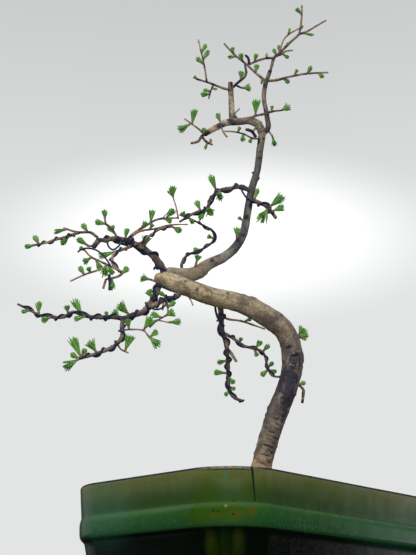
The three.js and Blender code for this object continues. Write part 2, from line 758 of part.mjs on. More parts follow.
/** The points of a wire wound round a limb, which passes each shoot on its far side. */
function coilPoints(owner, first, last, turns, gauge) {
  const curve = curveOf(owner.path);
  const length = curve.getLength();
  const steps = Math.round(Math.max(turns * COIL_STEPS, ((last - first) * length) / COIL_STEP));
  const frames = curve.computeFrenetFrames(WIRE_STATIONS, false);
  const pitch = (last - first) / turns;
  const knots = [];
  const dodges = shootAngles(owner, frames, WIRE_STATIONS).sort((a, b) => a.share - b.share);
  let drift = 0;
  let previous = first - pitch;
  for (const { share, angle } of dodges) {
    if (share > first && share < last && (share - previous) * length > DODGE_GAP) {
      const plain = ((share - first) / pitch) * 2 * Math.PI + drift;
      const wanted = angle + Math.PI;
      const change = THREE.MathUtils.euclideanModulo(wanted - plain + Math.PI, 2 * Math.PI) - Math.PI;
      drift += change;
      knots.push({ share, drift });
      previous = share;
    }
  }
  const driftAt = (share) => {
    if (knots.length === 0) return 0;
    const next = knots.findIndex((knot) => knot.share >= share);
    if (next === 0) return knots[0].drift;
    if (next === -1) return knots.at(-1).drift;
    const [from, to] = [knots[next - 1], knots[next]];
    return THREE.MathUtils.mapLinear(share, from.share, to.share, from.drift, to.drift);
  };
  const points = [];
  for (let step = 0; step <= steps; step += 1) {
    const share = THREE.MathUtils.lerp(first, last, step / steps);
    const angle = ((share - first) / pitch) * 2 * Math.PI + driftAt(share);
    const clear = evenly(owner.girth, share) / 2 + WIRE_LIFT + gauge / 2;
    const radius = clear / Math.cos(Math.PI / COIL_STEPS);
    const ring = Math.round(share * WIRE_STATIONS);
    const point = curve.getPointAt(share);
    point.addScaledVector(frames.binormals[ring], radius * Math.cos(angle));
    point.addScaledVector(frames.normals[ring], radius * Math.sin(angle));
    points.push(point);
  }
  return points;
}

/** A wire's solid: a round section carried along its coils, made larger all round by margin. */
function wireSolid({ gauge, wound }, margin = 0) {
  const points = wound.flatMap(([spray, name, first, last, turns]) =>
    coilPoints(LIMBS[spray][name], first, last, turns, gauge),
  );
  const sides = 3;
  const section = new THREE.Shape(
    Array.from({ length: sides }, (_, side) => {
      const angle = (side / sides) * 2 * Math.PI;
      const radius = gauge / 2 + margin;
      return new THREE.Vector2(radius * Math.cos(angle), radius * Math.sin(angle));
    }),
  );
  const extrudePath = new THREE.CatmullRomCurve3(points);
  return solid(new THREE.ExtrudeGeometry(section, { steps: points.length - 1, extrudePath }));
}

// ---------------------------------------------------------------------------------------------
// The pot and what fills it
// ---------------------------------------------------------------------------------------------

/** The pot's rim in plan as points with outward normals: a rectangle with cut, bowed corners. */
function rimOutline() {
  const halfChord = CORNER_CUT / Math.SQRT2;
  const halfAngle = 2 * Math.atan(CORNER_BOW / halfChord);
  const bowRadius = halfChord / Math.sin(halfAngle);
  const outline = [];
  const quarters = [[1, 1], [-1, 1], [-1, -1], [1, -1]];
  quarters.forEach(([signX, signY], quarter) => {
    const middle = Math.PI / 4 + (quarter * Math.PI) / 2;
    const cutMiddle = new THREE.Vector2(
      signX * (POT_LENGTH / 2 - CORNER_CUT / 2),
      signY * (POT_WIDTH / 2 - CORNER_CUT / 2),
    );
    const towards = new THREE.Vector2(Math.cos(middle), Math.sin(middle));
    const centre = cutMiddle.addScaledVector(towards, CORNER_BOW - bowRadius);
    for (let step = 0; step <= CORNER_STEPS; step += 1) {
      const angle = middle + halfAngle * ((2 * step) / CORNER_STEPS - 1);
      const normal = new THREE.Vector2(Math.cos(angle), Math.sin(angle));
      outline.push({ point: centre.clone().addScaledVector(normal, bowRadius), normal });
    }
  });
  return outline;
}

const RIM = rimOutline();
const LAST_PARALLEL_INSET = 45; // further in, the outline shrinks evenly towards the middle

/** A solid turned from a profile of [inset from the rim, height], carried round the pot's outline. */
function aroundPot(profile) {
  const halfWidth = POT_WIDTH / 2;
  const points = profile.map(([inset, height]) => new THREE.Vector2(halfWidth - inset, height));
  const turned = new THREE.LatheGeometry(points, RIM.length);
  const position = turned.attributes.position;
  for (let i = 0; i < position.count; i += 1) {
    const spoke = Math.floor(i / points.length) % RIM.length;
    const { point, normal } = RIM[spoke];
    const { x: fromAxis, y: height } = points[i % points.length];
    const inset = halfWidth - fromAxis;
    const parallel = Math.min(inset, LAST_PARALLEL_INSET);
    const shrink = Math.min(1, fromAxis / (halfWidth - LAST_PARALLEL_INSET));
    const place = point.clone().addScaledVector(normal, -parallel).multiplyScalar(shrink);
    position.setXYZ(i, place.x, place.y, height);
  }
  return solid(turned);
}

const CENTRE = POT_WIDTH / 2; // the inset at which a profile reaches the axis
const BELT_TOP = POT_HEIGHT - COLLAR_DEPTH;
const BELT_BOTTOM = BELT_TOP - BAND_DEPTH;
const BASE_INSET = NECK_INSET + BODY_TAPER;
const FLOOR_TOP = FOOT_HEIGHT + FLOOR_THICKNESS;

function box(sizeX, sizeY, sizeZ, x, y, z) {
  const geometry = new THREE.BoxGeometry(sizeX, sizeY, sizeZ);
  geometry.translate(x, y, z);
  return solid(geometry);
}

function drainPlaces() {
  return [-DRAIN_SPACING / 2, DRAIN_SPACING / 2];
}

function potSolid() {
  const shell = aroundPot([
    [CENTRE, FOOT_HEIGHT],
    [BASE_INSET + 2, FOOT_HEIGHT],
    [BASE_INSET, FOOT_HEIGHT + 2],
    [BASE_INSET * 0.62, FOOT_HEIGHT + (BELT_BOTTOM - FOOT_HEIGHT) * 0.45],
    [NECK_INSET, BELT_BOTTOM - 2.5],
    [COLLAR_LEAN - BAND_PROUD * 0.4, BELT_BOTTOM + 1.5],
    [COLLAR_LEAN - BAND_PROUD, BELT_BOTTOM + 6],
    [COLLAR_LEAN - BAND_PROUD, BELT_TOP - 6],
    [COLLAR_LEAN - BAND_PROUD * 0.45, BELT_TOP],
    [0, POT_HEIGHT - LIP],
    [LIP * 0.3, POT_HEIGHT - LIP * 0.3],
    [LIP, POT_HEIGHT],
    [RIM_THICKNESS, POT_HEIGHT],
    [RIM_THICKNESS + NECK_INSET, BELT_BOTTOM],
    [RIM_THICKNESS + BASE_INSET, FLOOR_TOP + 4],
    [RIM_THICKNESS + BASE_INSET + 5, FLOOR_TOP],
    [CENTRE, FLOOR_TOP],
  ]);
  const footRing = aroundPot([
    [CENTRE, 0],
    [BASE_INSET + 4, 0],
    [BASE_INSET + 2.2, FOOT_HEIGHT + 1],
    [CENTRE, FOOT_HEIGHT + 1],
  ]);
  const between = FOOT_HEIGHT * 2;
  const baseLength = POT_LENGTH - 2 * BASE_INSET;
  const baseWidth = POT_WIDTH - 2 * BASE_INSET;
  const clearance = FOOT_THICKNESS + 4;
  const cuts = [
    box(baseLength - 2 * FOOT_LENGTH, POT_WIDTH, between, 0, 0, 0),
    box(POT_LENGTH, baseWidth - 2 * FOOT_LENGTH, between, 0, 0, 0),
    box(baseLength - 2 * clearance, baseWidth - 2 * clearance, between, 0, 0, 0),
  ];
  const feet = footRing.subtract(wasm.Manifold.union(cuts));
  const drains = drainPlaces().map((x) => {
    const drain = new THREE.CylinderGeometry(DRAIN_DIAMETER / 2, DRAIN_DIAMETER / 2, 60, 12);
    drain.rotateX(Math.PI / 2);
    drain.translate(x, 0, FOOT_HEIGHT);
    return solid(drain);
  });
  return shell.add(feet).subtract(wasm.Manifold.union(drains));
}

/** A drain screen: a thin square plate with a row of slots, lying over a drain hole. */
function screenSolid(x) {
  const middle = FLOOR_TOP + GAP + SCREEN_THICKNESS / 2;
  const plate = box(SCREEN_SIZE, SCREEN_SIZE, SCREEN_THICKNESS, x, 0, middle);
  const openings = [-1.5, -0.5, 0.5, 1.5].map((column) =>
    box(SCREEN_SLOT, SCREEN_SIZE - 2 * SCREEN_SLOT, 10, x + column * SCREEN_PITCH, 0, middle),
  );
  return plate.subtract(wasm.Manifold.union(openings));
}

/** The soil: it fills the pot, mounds up to the trunk, and has pockets over the drain screens. */
function soilSolid(stem) {
  const edgeInset = RIM_THICKNESS + 1.4 + GAP;
  const fill = aroundPot([
    [CENTRE, FLOOR_TOP + GAP],
    [RIM_THICKNESS + BASE_INSET + 5 + GAP, FLOOR_TOP + GAP],
    [RIM_THICKNESS + BASE_INSET + GAP, FLOOR_TOP + 4 + GAP],
    [RIM_THICKNESS + NECK_INSET + GAP, BELT_BOTTOM],
    [edgeInset, POT_HEIGHT + SOIL_EDGE],
    [edgeInset + 8, POT_HEIGHT + SOIL_EDGE + 3],
    [45, POT_HEIGHT + SOIL_CROWN * 0.3],
    [78, POT_HEIGHT + SOIL_CROWN * 0.8],
    [CENTRE, POT_HEIGHT + SOIL_CROWN],
  ]);
  const pockets = drainPlaces().map((x) => {
    const size = SCREEN_SIZE + 2 * GAP;
    const top = SCREEN_THICKNESS + 2 * GAP;
    return box(size, size, top * 2, x, 0, FLOOR_TOP + GAP);
  });
  return fill.subtract(wasm.Manifold.union([...pockets, stem]));
}

// ---------------------------------------------------------------------------------------------
// Assembly
// ---------------------------------------------------------------------------------------------

/** A solid laid out in the tree's front view, turned and lifted into the pot's frame. */
function planted(body) {
  const geometry = geometryOf(body);
  geometry.rotateZ(FRONT_TURN);
  geometry.translate(PLANTED_X, PLANTED_Y, POT_HEIGHT);
  return geometry;
}

/** The surface roots at the trunk's foot, which run out and down into the soil. */
function rootLimbs() {
  const [footX, footY] = LIMBS.trunk.lower.path[0];
  return ROOTS.map(([turn, reach, girth]) => {
    const angle = THREE.MathUtils.degToRad(turn);
    const out = (share, up) => [
      footX + Math.cos(angle) * reach * share,
      footY + Math.sin(angle) * reach * share,
      up,
    ];
    return limb([girth, girth * 0.5], [out(0.1, 20), out(0.6, 9), out(1.2, -8)]);
  });
}

function trunkSolids(margin) {
  const [footX, footY] = LIMBS.trunk.lower.path[0];
  const stump = limb([19, 27], [[footX, footY, -TRUNK_DEPTH], [footX, footY, 8]]);
  const limbs = [...Object.values(LIMBS.trunk), stump, ...rootLimbs()];
  return wasm.Manifold.union(limbs.map((each) => woodOf(each, margin)));
}

function spraySolid(limbs) {
  const parts = limbs.flatMap((each) => [
    woodOf(each),
    ...each.shoots.map((shoot) => shootSolid(each, shoot)),
  ]);
  return wasm.Manifold.union(parts);
}

const bonsai = new THREE.Group();

function place(name, geometry, color, roughness, metalness = 0) {
  const material = new THREE.MeshStandardMaterial({ color, roughness, metalness, flatShading: true });
  const mesh = new THREE.Mesh(geometry, material);
  mesh.name = name;
  bonsai.add(mesh);
}

const trunk = trunkSolids(0);
const trunkRoom = trunkSolids(GAP);
const wireRoom = wasm.Manifold.union(Object.values(WIRES).map((wire) => wireSolid(wire, GAP)));

place('pot', geometryOf(potSolid()), 0x2c4a26, 0.25);
drainPlaces().forEach((x, i) => {
  place(`drain_screen_${i + 1}`, geometryOf(screenSolid(x)), 0x1c1d1a, 0.6);
});
const stemRoom = trunkRoom.rotate([0, 0, THREE.MathUtils.radToDeg(FRONT_TURN)]);
place('soil', geometryOf(soilSolid(stemRoom.translate([PLANTED_X, PLANTED_Y, POT_HEIGHT]))), 0x4a3b2a, 0.95);
place('trunk', planted(trunk), 0x84745c, 0.85);

for (const [name, limbs] of Object.entries(LIMBS)) {
  if (name === 'trunk') continue;
  const seats = (SEATS[name] ?? []).flatMap((seat) => Object.values(LIMBS[seat]));
  const rooms = [trunkRoom, wireRoom, ...seats.map((seat) => woodOf(seat, GAP))];
  const spray = spraySolid(Object.values(limbs)).subtract(wasm.Manifold.union(rooms));
  place(name, planted(largestBody(spray)), 0x5d8a34, 0.7);
}

for (const [name, wire] of Object.entries(WIRES)) {
  place(name, planted(wireSolid(wire)), 0x20242c, 0.4, 0.7);
}

// Set the bounding box's bottom centre on the origin.
const bounds = new THREE.Box3().setFromObject(bonsai);
const middle = bounds.getCenter(new THREE.Vector3());
bonsai.position.set(-middle.x, -middle.y, -bounds.min.z);

export default bonsai;
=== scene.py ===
"""A larch bonsai with two wired tiers, in a deep green glazed pot with cut corners.

Shapes are worked out in millimetres and turned into metres where a mesh is made. The tree is laid
out in a front view: across to the right, depth away from the viewer, and up from the pot's rim, all
from the middle of the pot.
"""

import math

import bpy
import mathutils
import numpy as np
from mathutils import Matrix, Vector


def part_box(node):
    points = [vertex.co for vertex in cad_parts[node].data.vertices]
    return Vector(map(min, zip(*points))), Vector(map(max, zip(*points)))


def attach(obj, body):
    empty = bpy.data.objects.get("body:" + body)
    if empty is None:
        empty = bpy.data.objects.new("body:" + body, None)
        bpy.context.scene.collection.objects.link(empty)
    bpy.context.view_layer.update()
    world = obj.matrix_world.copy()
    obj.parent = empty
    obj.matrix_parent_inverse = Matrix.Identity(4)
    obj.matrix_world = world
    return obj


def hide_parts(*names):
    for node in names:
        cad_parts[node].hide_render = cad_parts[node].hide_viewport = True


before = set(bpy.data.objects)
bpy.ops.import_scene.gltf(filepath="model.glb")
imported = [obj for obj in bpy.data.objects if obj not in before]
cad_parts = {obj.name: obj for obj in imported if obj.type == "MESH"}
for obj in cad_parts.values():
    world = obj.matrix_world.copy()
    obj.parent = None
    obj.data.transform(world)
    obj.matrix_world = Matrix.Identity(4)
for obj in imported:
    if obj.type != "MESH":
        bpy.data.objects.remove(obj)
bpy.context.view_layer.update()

MM = 0.001
TURN = 2 * math.pi

# ---- Driving dimensions, in millimetres ----

POT_LENGTH = 330
POT_WIDTH = 213
POT_HEIGHT = 156
CORNER_CUT = 45
CORNER_BOW = 11
RIM_THICKNESS = 9
COLLAR_DEPTH = 29
BAND_DEPTH = 18
COLLAR_LEAN = 2.2
BAND_PROUD = 1.6
NECK_INSET = 5
BODY_TAPER = 24.5
FLOOR_THICKNESS = 9
FOOT_HEIGHT = 10
FOOT_LENGTH = 46
FOOT_THICKNESS = 14
FOOT_INSET = 2.6
FOOT_ROUND = 5
LIP = 2.6
RIM_LINE = 2.2
NEAR_CORNER = 534.5
CRACK_AT = 549.0
CRACK_LENGTH = 29
CRACK_LEAN = 3.4
CRACK_DEPTH = 0.8
SOIL_EDGE = -5
SOIL_CROWN = 9
TRUNK_DEPTH = 42
PLANTED = (2.4, 3.4)
SLIT_PITCH = 4.6
SLIT_ROUND = 34
SLIT_REACH = 92
SLIT_SPREAD = 56
SPUR_RISE = 2.4
BUD_WIDTH = 4
FRONT_TURN = math.radians(-48)

# Scars and stains on the bark, the wide stains partly painted shade: [share of the way, turn from
# the viewer in degrees, half length, half width, darkness, rise]
LOWER_MARKS = [
    [0.917, 23, 1.4, 1.6, 0.8, -0.4], [0.871, -3, 1.6, 2.6, 0.85, 0], [0.822, -1, 1, 4, 0.35, 0],
    # The long mark at share 0.736, turned 57 degrees, is painted shade along the trunk's upper
    # edge.
    [0.772, 28, 2, 2.6, 0.8, 0], [0.736, 57, 6, 2, 0.9, 0], [0.687, 72, 3, 3, 0.3, 0.8],
    [0.673, -12, 3, 2, 0.3, 0], [0.589, 44, 1.6, 3, 0.8, 0.6], [0.56, 21, 1.2, 6, 0.5, 0],
    [0.541, 13, 1, 6, 0.5, 0], [0.492, -15, 2, 4.2, 1, -0.3], [0.462, 14, 1.7, 6.5, 1, -0.3],
    [0.444, 8, 1, 10, 0.8, 0], [0.433, 5, 2.6, 9, 0.95, 0.4], [0.42, 8, 0.8, 9, 0.5, -0.3],
    [0.575, -80, 1.5, 2, 0.7, -0.5], [0.247, -76, 1.6, 2, 0.6, 0.7],
    [0.301, -60, 1.4, 1.6, 0.5, 0], [0.375, 24, 4, 2, 0.7, 0], [0.35, 34, 7, 1.4, 0.8, 0],
    [0.33, 8, 5, 1.2, 0.7, 0], [0.3, 30, 6, 1.6, 0.8, 0], [0.395, -24, 4, 1.6, 0.6, 0],
    [0.21, 70, 3, 2, 0.6, 0.6], [0.12, -70, 2, 2, 0.4, 0.5], [0.16, 80, 2, 2, 0.4, 0.6],
    [0.45, 84, 6, 6, 0.15, 0.9], [0.38, -88, 2, 2, 0.3, 0.7], [0.27, -84, 2.5, 2, 0.3, 0.6],
    [0.34, 86, 2, 2, 0.3, 0.6], [0.18, -88, 3, 3, 0.2, 0.6],
]
# Wide stains, partly real and partly painted shade on the trunk's right side and underside.
LOWER_STAINS_AND_SHADE = [
    [0.44, 20, 14, 10, 0.85, 0], [0.38, 6, 20, 10, 1, 0], [0.32, 24, 24, 10, 1, 0],
    [0.5, 46, 9, 6, 0.6, 0], [0.26, 44, 12, 6, 0.8, 0], [0.37, -55, 24, 13, 1, 0],
    [0.41, -35, 10, 14, 0.9, 0], [0.3, -50, 18, 8, 0.6, 0], [0.6, 5, 17, 7, 0.5, 0],
    [0.56, 12, 12, 6, 0.42, 0], [0.68, -8, 15, 6, 0.36, 0], [0.52, -30, 10, 6, 0.4, 0],
]
PALE_MARKS = [
    [0.432, -14, 0.9, 1.4, 0.8, 0.3], [0.429, 4, 0.7, 1.2, 0.6, 0.3],
    [0.431, 24, 0.8, 1.5, 0.6, 0.3], [0.412, 20, 1, 3, 0.4, 0.2], [0.475, 34, 1.4, 3, 0.3, 0],
]
RED_MARKS = [[0.596, 3, 3, 3.4, 0.95, 0], [0.425, 0, 1, 5, 0.4, 0]]
UPPER_MARKS = [
    [0.264, -8, 3, 3, 0.95, -0.3], [0.278, 49, 1.5, 1.5, 0.6, 0], [0.343, 43, 1.2, 1.2, 0.7, 0],
    [0.3, -30, 3, 2.4, 0.7, 0], [0.425, -18, 4, 3.2, 0.95, 0.3], [0.466, 4, 2.5, 3, 0.85, 0],
    [0.561, -8, 4, 3, 0.9, 0.4], [0.625, 40, 5, 2.4, 0.6, 0], [0.798, -90, 1, 1.1, 0.6, 2],
    [0.777, 90, 2, 1.6, 0.6, 1.2], [0.2, 60, 6, 6, 0.2, 1.5], [0.87, 10, 2, 4, 0.35, 0],
    [0.955, -42, 4, 2.6, 0.95, 0], [0.9, 0, 1, 6, 0.2, 0], [0.965, 30, 2, 1.6, 0.7, 0],
]
WOOD_MARKS = {
    "leader": [
        [0.29, 20, 5, 2.2, 0.9, 0], [0.76, -10, 3.5, 3, 0.85, 0.3], [0.1, 40, 3, 1.6, 0.6, 0],
        [0.5, -30, 4, 1.4, 0.5, 0],
    ],
    "apex": [
        [0.24, 60, 3, 3, 0.4, 0.5], [0.57, 0, 4, 4, 0.85, 0.5], [0.76, -20, 5, 3, 0.8, 0.5],
        [0.66, 20, 3, 2.5, 0, 0.6], [0.35, -70, 8, 2, 0.4, 0], [0.12, 30, 4, 2, 0.3, 0.4],
    ],
    "snag": [[0.93, 30, 5, 2, 0.9, -0.5], [0.66, 0, 1, 4, 0.6, 0], [0.1, 30, 3, 2, 0.5, 0.3]],
}

# Marks in the glaze: [along the rim, height, half width, half height, strength]
PITS = [
    [530.5, 153.2, 24, 0.6, 0.9], [516.8, 120.5, 0.8, 0.8, 1], [521, 120, 0.8, 0.7, 1],
    [533, 117.5, 1, 0.8, 1], [581.5, 119.5, 0.7, 0.9, 0.9], [533.5, 128.5, 1, 0.8, 0.8],
    [606.5, 118, 0.7, 0.6, 0.5],
]
YELLOW = [
    [508, 132, 12, 20, 0.5], [512.5, 134, 5, 15, 0.4], [506, 120, 12, 9, 0.8],
    [531, 120, 24, 8, 0.85], [546, 132, 7, 14, 0.7], [530, 150, 24, 5, 0.4], [513, 94, 7, 11, 0.2],
    [537, 95, 7, 12, 0.16], [526, 94, 7, 14, 0.12], [640, 147, 40, 6, 0.3],
    [700, 146, 60, 6, 0.35], [440, 151, 60, 4, 0.2], [560, 142, 3, 12, 0.3],
]
BROWN = [
    [518.5, 117, 4, 2.2, 0.4], [537, 118.5, 6, 2.4, 0.35], [549, 120, 4, 4, 0.6],
    [610.2, 115, 1.4, 1.3, 1], [606.5, 118, 0.9, 0.9, 0.8], [618, 130, 0.8, 3, 0.6],
    [512, 99, 4, 8, 0.12], [538, 99, 4, 8, 0.1], [536, 148, 10, 6, 0.25],
    [614.2, 108.5, 0.8, 0.8, 0.6],
]
TEAL = [
    [527.3, 148.5, 1.8, 5.5, 0.65], [527.5, 141, 1.2, 6, 0.1], [391, 130, 34, 28, 0.35],
    [600, 118, 40, 8, 0.1], [760, 118, 90, 12, 0.4],
]
# A painted glint of light on the belt near the front corner, carried in mark[0] with the worn rim.
PAINTED_GLINT = [[527.2, 124.3, 1.3, 0.9, 0.6]]

pot_low, pot_high = (np.array(corner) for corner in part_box("pot"))
POT_MIDDLE = (pot_low + pot_high) / 2
HALF_POT = np.array([POT_LENGTH, POT_WIDTH]) / 2
CORNERS = [(1, 1), (-1, 1), (-1, -1), (1, -1)]


def planted(points):
    """Front view layout to the part's frame, in metres: turned about the upright, then lifted."""
    across, depth, up = np.moveaxis(np.asarray(points, float), -1, 0)
    cosine, sine = math.cos(FRONT_TURN), math.sin(FRONT_TURN)
    x = POT_MIDDLE[0] + MM * (PLANTED[0] + cosine * across - sine * depth)
    y = POT_MIDDLE[1] + MM * (PLANTED[1] + sine * across + cosine * depth)
    return np.stack([x, y, MM * (POT_HEIGHT + up)], -1)


def potted(points):
    """Pot layout, from the middle of the pot on the ground, to the part's frame in metres."""
    return np.asarray(points, float) * MM + [POT_MIDDLE[0], POT_MIDDLE[1], 0]


# ---- The tree's limbs ----

# A limb runs through its path, and its girth is a diameter at even shares of the path. A shoot is
# [share of the path, turn from the right towards the top, lean towards the viewer, reach, width].


def limb(girth, path, shoots=()):
    """One limb's measures, kept together."""
    return {"girth": girth, "path": path, "shoots": list(shoots)}


LIMBS = {}


def grow(node, label, girth, path, shoots=()):
    """Puts a limb among those of its node."""
    LIMBS.setdefault(node, {})[label] = limb(girth, path, shoots)


grow("trunk", "lower", [27, 19, 19, 20, 20, 20, 20.5, 20, 18.5, 17.5, 16.5, 15.5], [
    [-7, -3, 4], [-2, -4, 27], [2, -5, 43], [8, -7, 62], [15, -10, 81], [23, -13, 100],
    [28, -17, 118], [28, -22, 137], [21, -27, 155], [4, -32, 168], [-19, -37, 179],
    [-49, -42, 185], [-78, -45, 195], [-99, -46, 202],
])
grow("trunk", "upper", [14, 12, 14, 11, 9.4, 9, 8.2, 7.8, 7.4, 7.2, 7.5, 8], [
    [-92, -45, 200], [-90, -36, 210], [-79, -29, 212], [-67, -24, 214], [-52, -19, 226],
    [-37, -15, 235], [-26, -11, 246], [-17, -5, 264], [-12, 0, 290], [-8, 4, 314], [-1, 7, 340],
    [2, 8, 363], [5, 8, 383],
])
grow("trunk", "leader", [5.8, 4.2], [
    [5, 8, 382], [11, 8, 389], [10, 6, 403], [7, 4, 423], [9, 2, 438], [14, 0, 453],
])
grow("trunk", "apex", [9.1, 5.8], [
    [5, 8, 384], [0, 5, 392], [-9, 1, 394], [-21, -3, 391], [-33, -7, 388], [-43, -11, 381],
    [-56, -15, 371],
])
grow("trunk", "snag", [6.5, 5.5], [[-27, -4, 389], [-28, -7, 410], [-29, -9, 434]])
grow("trunk", "apex_spur", [2.1, 1.7], [[-39, -9, 385], [-37, -12, 375], [-33, -14, 368]])
grow("trunk", "under_spur", [1.7, 1.4], [[-73, -42, 189], [-69, -44, 180], [-67, -45, 175]])
grow("spray_crown_tip", "bough", [3.2, 2.7], [
    [14, 0, 452], [19, -1, 469], [25, 0, 475], [36, 3, 489], [48, 5, 502],
], [[0.42, 95, -15, 12, 6], [0.6, 45, 35, 5, 6]])
grow("spray_crown_tip", "top", [2.4, 1.8], [
    [47, 5, 501], [50, 7, 520], [51, 8, 539],
], [[0.14, 70, -20, 9, 6], [0.69, 135, 15, 10, 7]])
grow("spray_crown_tip", "right", [2.4, 1.7], [
    [47, 5, 501], [54, 2, 502], [60, -1, 504], [69, -3, 509], [76, -4, 513],
], [[0.11, 340, 15, 15, 4]])
grow("spray_crown_tip", "thin", [1.9, 1.5], [
    [24, 0, 474], [29, -5, 488], [34, -7, 493], [46, -9, 500],
], [[0.62, 75, 15, 8, 4]])
grow("spray_crown_tip", "middle", [2.8, 1.9], [
    [18, -1, 468], [10, -6, 465], [1, -10, 460], [-9, -14, 453],
], [[0.28, 90, -20, 8, 4], [0.78, 75, 20, 10, 7]])
grow("spray_crown_tip", "stub", [2.8, 2.6], [[-9, -14, 453], [-10, -15, 460], [-13, -16, 463]])
grow("spray_crown_tip", "short", [2.2, 1.6], [
    [20, -1, 470], [27, 5, 476], [32, 9, 482], [40, 12, 485],
], [[0.09, 110, -10, 11, 6], [0.44, 335, -20, 9, 6]])
grow("spray_crown_left", "diagonal", [3, 1.8], [
    [10, 2, 441], [-1, 8, 455], [-12, 14, 470], [-23, 19, 483], [-35, 23, 500],
], [
    [0.11, 270, 20, 11, 4], [0.25, 80, -15, 12, 9], [0.55, 110, 25, 10, 8],
    [0.69, 170, -20, 11, 6], [0.76, 100, 20, 8, 7],
])
grow("spray_crown_right", "long", [3, 1.7], [
    [10, 2, 442], [19, -3, 440], [34, -9, 441], [52, -14, 442], [74, -20, 440],
], [[0.28, 335, -20, 9, 7], [0.47, 65, 20, 8, 6], [0.67, 65, -15, 12, 7], [0.84, 305, 20, 10, 6]])
grow("spray_crown_low_left", "twig", [2.8, 1.9], [
    [10, 6, 405], [2, 1, 401], [-8, -5, 395],
], [[0.7, 85, 10, 19, 12]])
grow("spray_crown_low_right", "twig", [2.8, 1.9], [
    [10, 6, 406], [18, 10, 410], [26, 14, 413],
], [[0.34, 85, 25, 7, 6], [1, 35, -15, 12, 11]])
grow("spray_crown_under", "twig", [2.3, 1.9], [
    [12, 8, 385], [15, 4, 378], [17, 2, 370],
], [[0.59, 280, 10, 12, 8]])
grow("spray_snag_left", "bough", [2.8, 1.9], [
    [-29, -9, 425], [-39, -15, 425], [-51, -21, 427], [-65, -28, 428],
], [[0.97, 145, 20, 5, 6]])
grow("spray_snag_left", "riser", [2, 1.4], [
    [-54, -23, 428], [-57, -26, 447], [-63, -29, 474],
], [[0.39, 140, 15, 12, 7], [0.51, 65, -10, 15, 7], [0.68, 60, 15, 11, 6]])
grow("spray_snag_left", "hanger", [2, 1.5], [
    [-47, -19, 426], [-50, -16, 420], [-52, -14, 412],
], [[0.26, 335, 25, 7, 4], [0.49, 150, -25, 10, 6], [0.65, 195, 15, 11, 7]])
grow("spray_snag_right", "bough", [3, 2.2], [
    [-29, -9, 426], [-21, -3, 437], [-12, 3, 450], [-13, 7, 467],
], [[0.41, 85, 15, 11, 9]])
grow("spray_snag_right", "stub", [2.1, 1.9], [
    [-23, -5, 433], [-17, -1, 432],
], [[1, 10, -15, 11, 12]])
grow("shoot_snag", "twig", [1.6, 1.3], [
    [-27, -4, 396], [-24, -1, 402], [-19, 2, 409],
], [[0.31, 295, 25, 8, 4]])
grow("spray_apex_end", "end", [3.5, 2.3], [
    [-55, -15, 372], [-59, -18, 367], [-63, -22, 359], [-70, -26, 355],
], [[0.24, 70, 25, 9, 7]])
grow("spray_apex_end", "fork", [2.7, 2.1], [
    [-59, -18, 367], [-55, -16, 362], [-48, -14, 359],
], [[0.61, 250, 10, 10, 4], [0.83, 85, -15, 7, 4]])
grow("spray_apex_end", "thin", [2.1, 1.3], [
    [-57, -16, 370], [-61, -22, 372], [-69, -27, 376], [-77, -30, 381],
], [[0.65, 80, 10, 18, 9], [0.69, 205, -10, 16, 11]])
grow("shoot_apex", "twig", [1.6, 1.6], [[-39, -9, 385], [-42, -9, 395]], [[0.35, 105, -10, 11, 8]])
grow("spray_apex_low", "thin", [2.1, 1.4], [
    [3, 8, 377], [-5, 2, 374], [-16, -3, 377], [-27, -8, 377], [-36, -11, 376],
], [[0.28, 245, -30, 6, 6], [0.51, 265, 15, 11, 7], [0.65, 65, 45, 7, 6]])
grow("spray_apex_low", "stub", [3.4, 2.9], [
    [-2, 5, 377], [-7, 1, 382], [-13, -1, 383],
], [[0.47, 55, -15, 20, 6]])
grow("spray_middle_left", "bough", [5, 2.4], [
    [-9, 3, 315], [-20, -4, 316], [-30, -9, 312], [-41, -14, 307], [-50, -18, 297],
    [-54, -20, 285], [-66, -24, 279], [-76, -28, 271], [-81, -30, 267],
], [
    [0.37, 265, 35, 16, 11], [0.42, 110, 10, 21, 9], [0.64, 290, 40, 13, 14],
    [0.66, 240, 10, 16, 7], [0.73, 110, -10, 14, 8], [0.89, 320, -25, 10, 7],
    [0.92, 130, 25, 8, 9],
])
grow("spray_middle_right", "bough", [5.2, 3.4], [
    [-10, 3, 305], [-2, -4, 299], [6, -9, 293], [12, -13, 284], [16, -15, 277],
], [
    [0.17, 75, -15, 18, 6], [0.64, 245, 25, 22, 17], [0.65, 40, 10, 22, 15],
    [0.78, 25, -10, 16, 11],
])
grow("shoot_middle", "twig", [1.8, 1.6], [[-14, -3, 277], [-19, -8, 278]], [[0.57, 145, 15, 7, 6]])
grow("spray_loop", "bough", [3.1, 2.1], [
    [-76, -26, 212], [-79, -16, 227], [-74, -8, 239], [-58, 2, 250], [-47, 6, 261], [-48, 8, 272],
    [-56, 8, 277], [-65, 7, 282], [-71, 5, 284],
], [[0.48, 165, -20, 9, 6], [0.67, 160, 20, 8, 8]])
grow("shoot_fork", "twig", [2.6, 2.2], [
    [-67, -25, 216], [-65, -29, 221], [-64, -31, 224],
], [[0.8, 75, 15, 10, 11]])
grow("shoot_bend", "twig", [1.8, 1.6], [[-20, -9, 252], [-24, -14, 256]], [[1, 85, 10, 12, 9]])
grow("spray_left", "bough", [7.4, 4], [
    [-93, -40, 207], [-99, -44, 217], [-107, -48, 225], [-118, -53, 232], [-131, -58, 236],
    [-142, -62, 237], [-152, -65, 234], [-159, -67, 234],
], [[0.41, 75, 35, 14, 14], [0.66, 80, 15, 13, 8]])
grow("spray_left", "stub", [5.7, 4.8], [[-157, -66, 234], [-162, -68, 226]])
grow("spray_left", "stub_end", [2.3, 2.1], [
    [-162, -68, 227], [-168, -69, 227],
], [[0.77, 150, 15, 14, 8]])
grow("spray_left", "upper", [2.9, 1.9], [
    [-158, -67, 236], [-165, -70, 240], [-177, -74, 239], [-190, -77, 242],
], [[0.32, 120, -15, 12, 8], [0.9, 200, 15, 14, 7]])
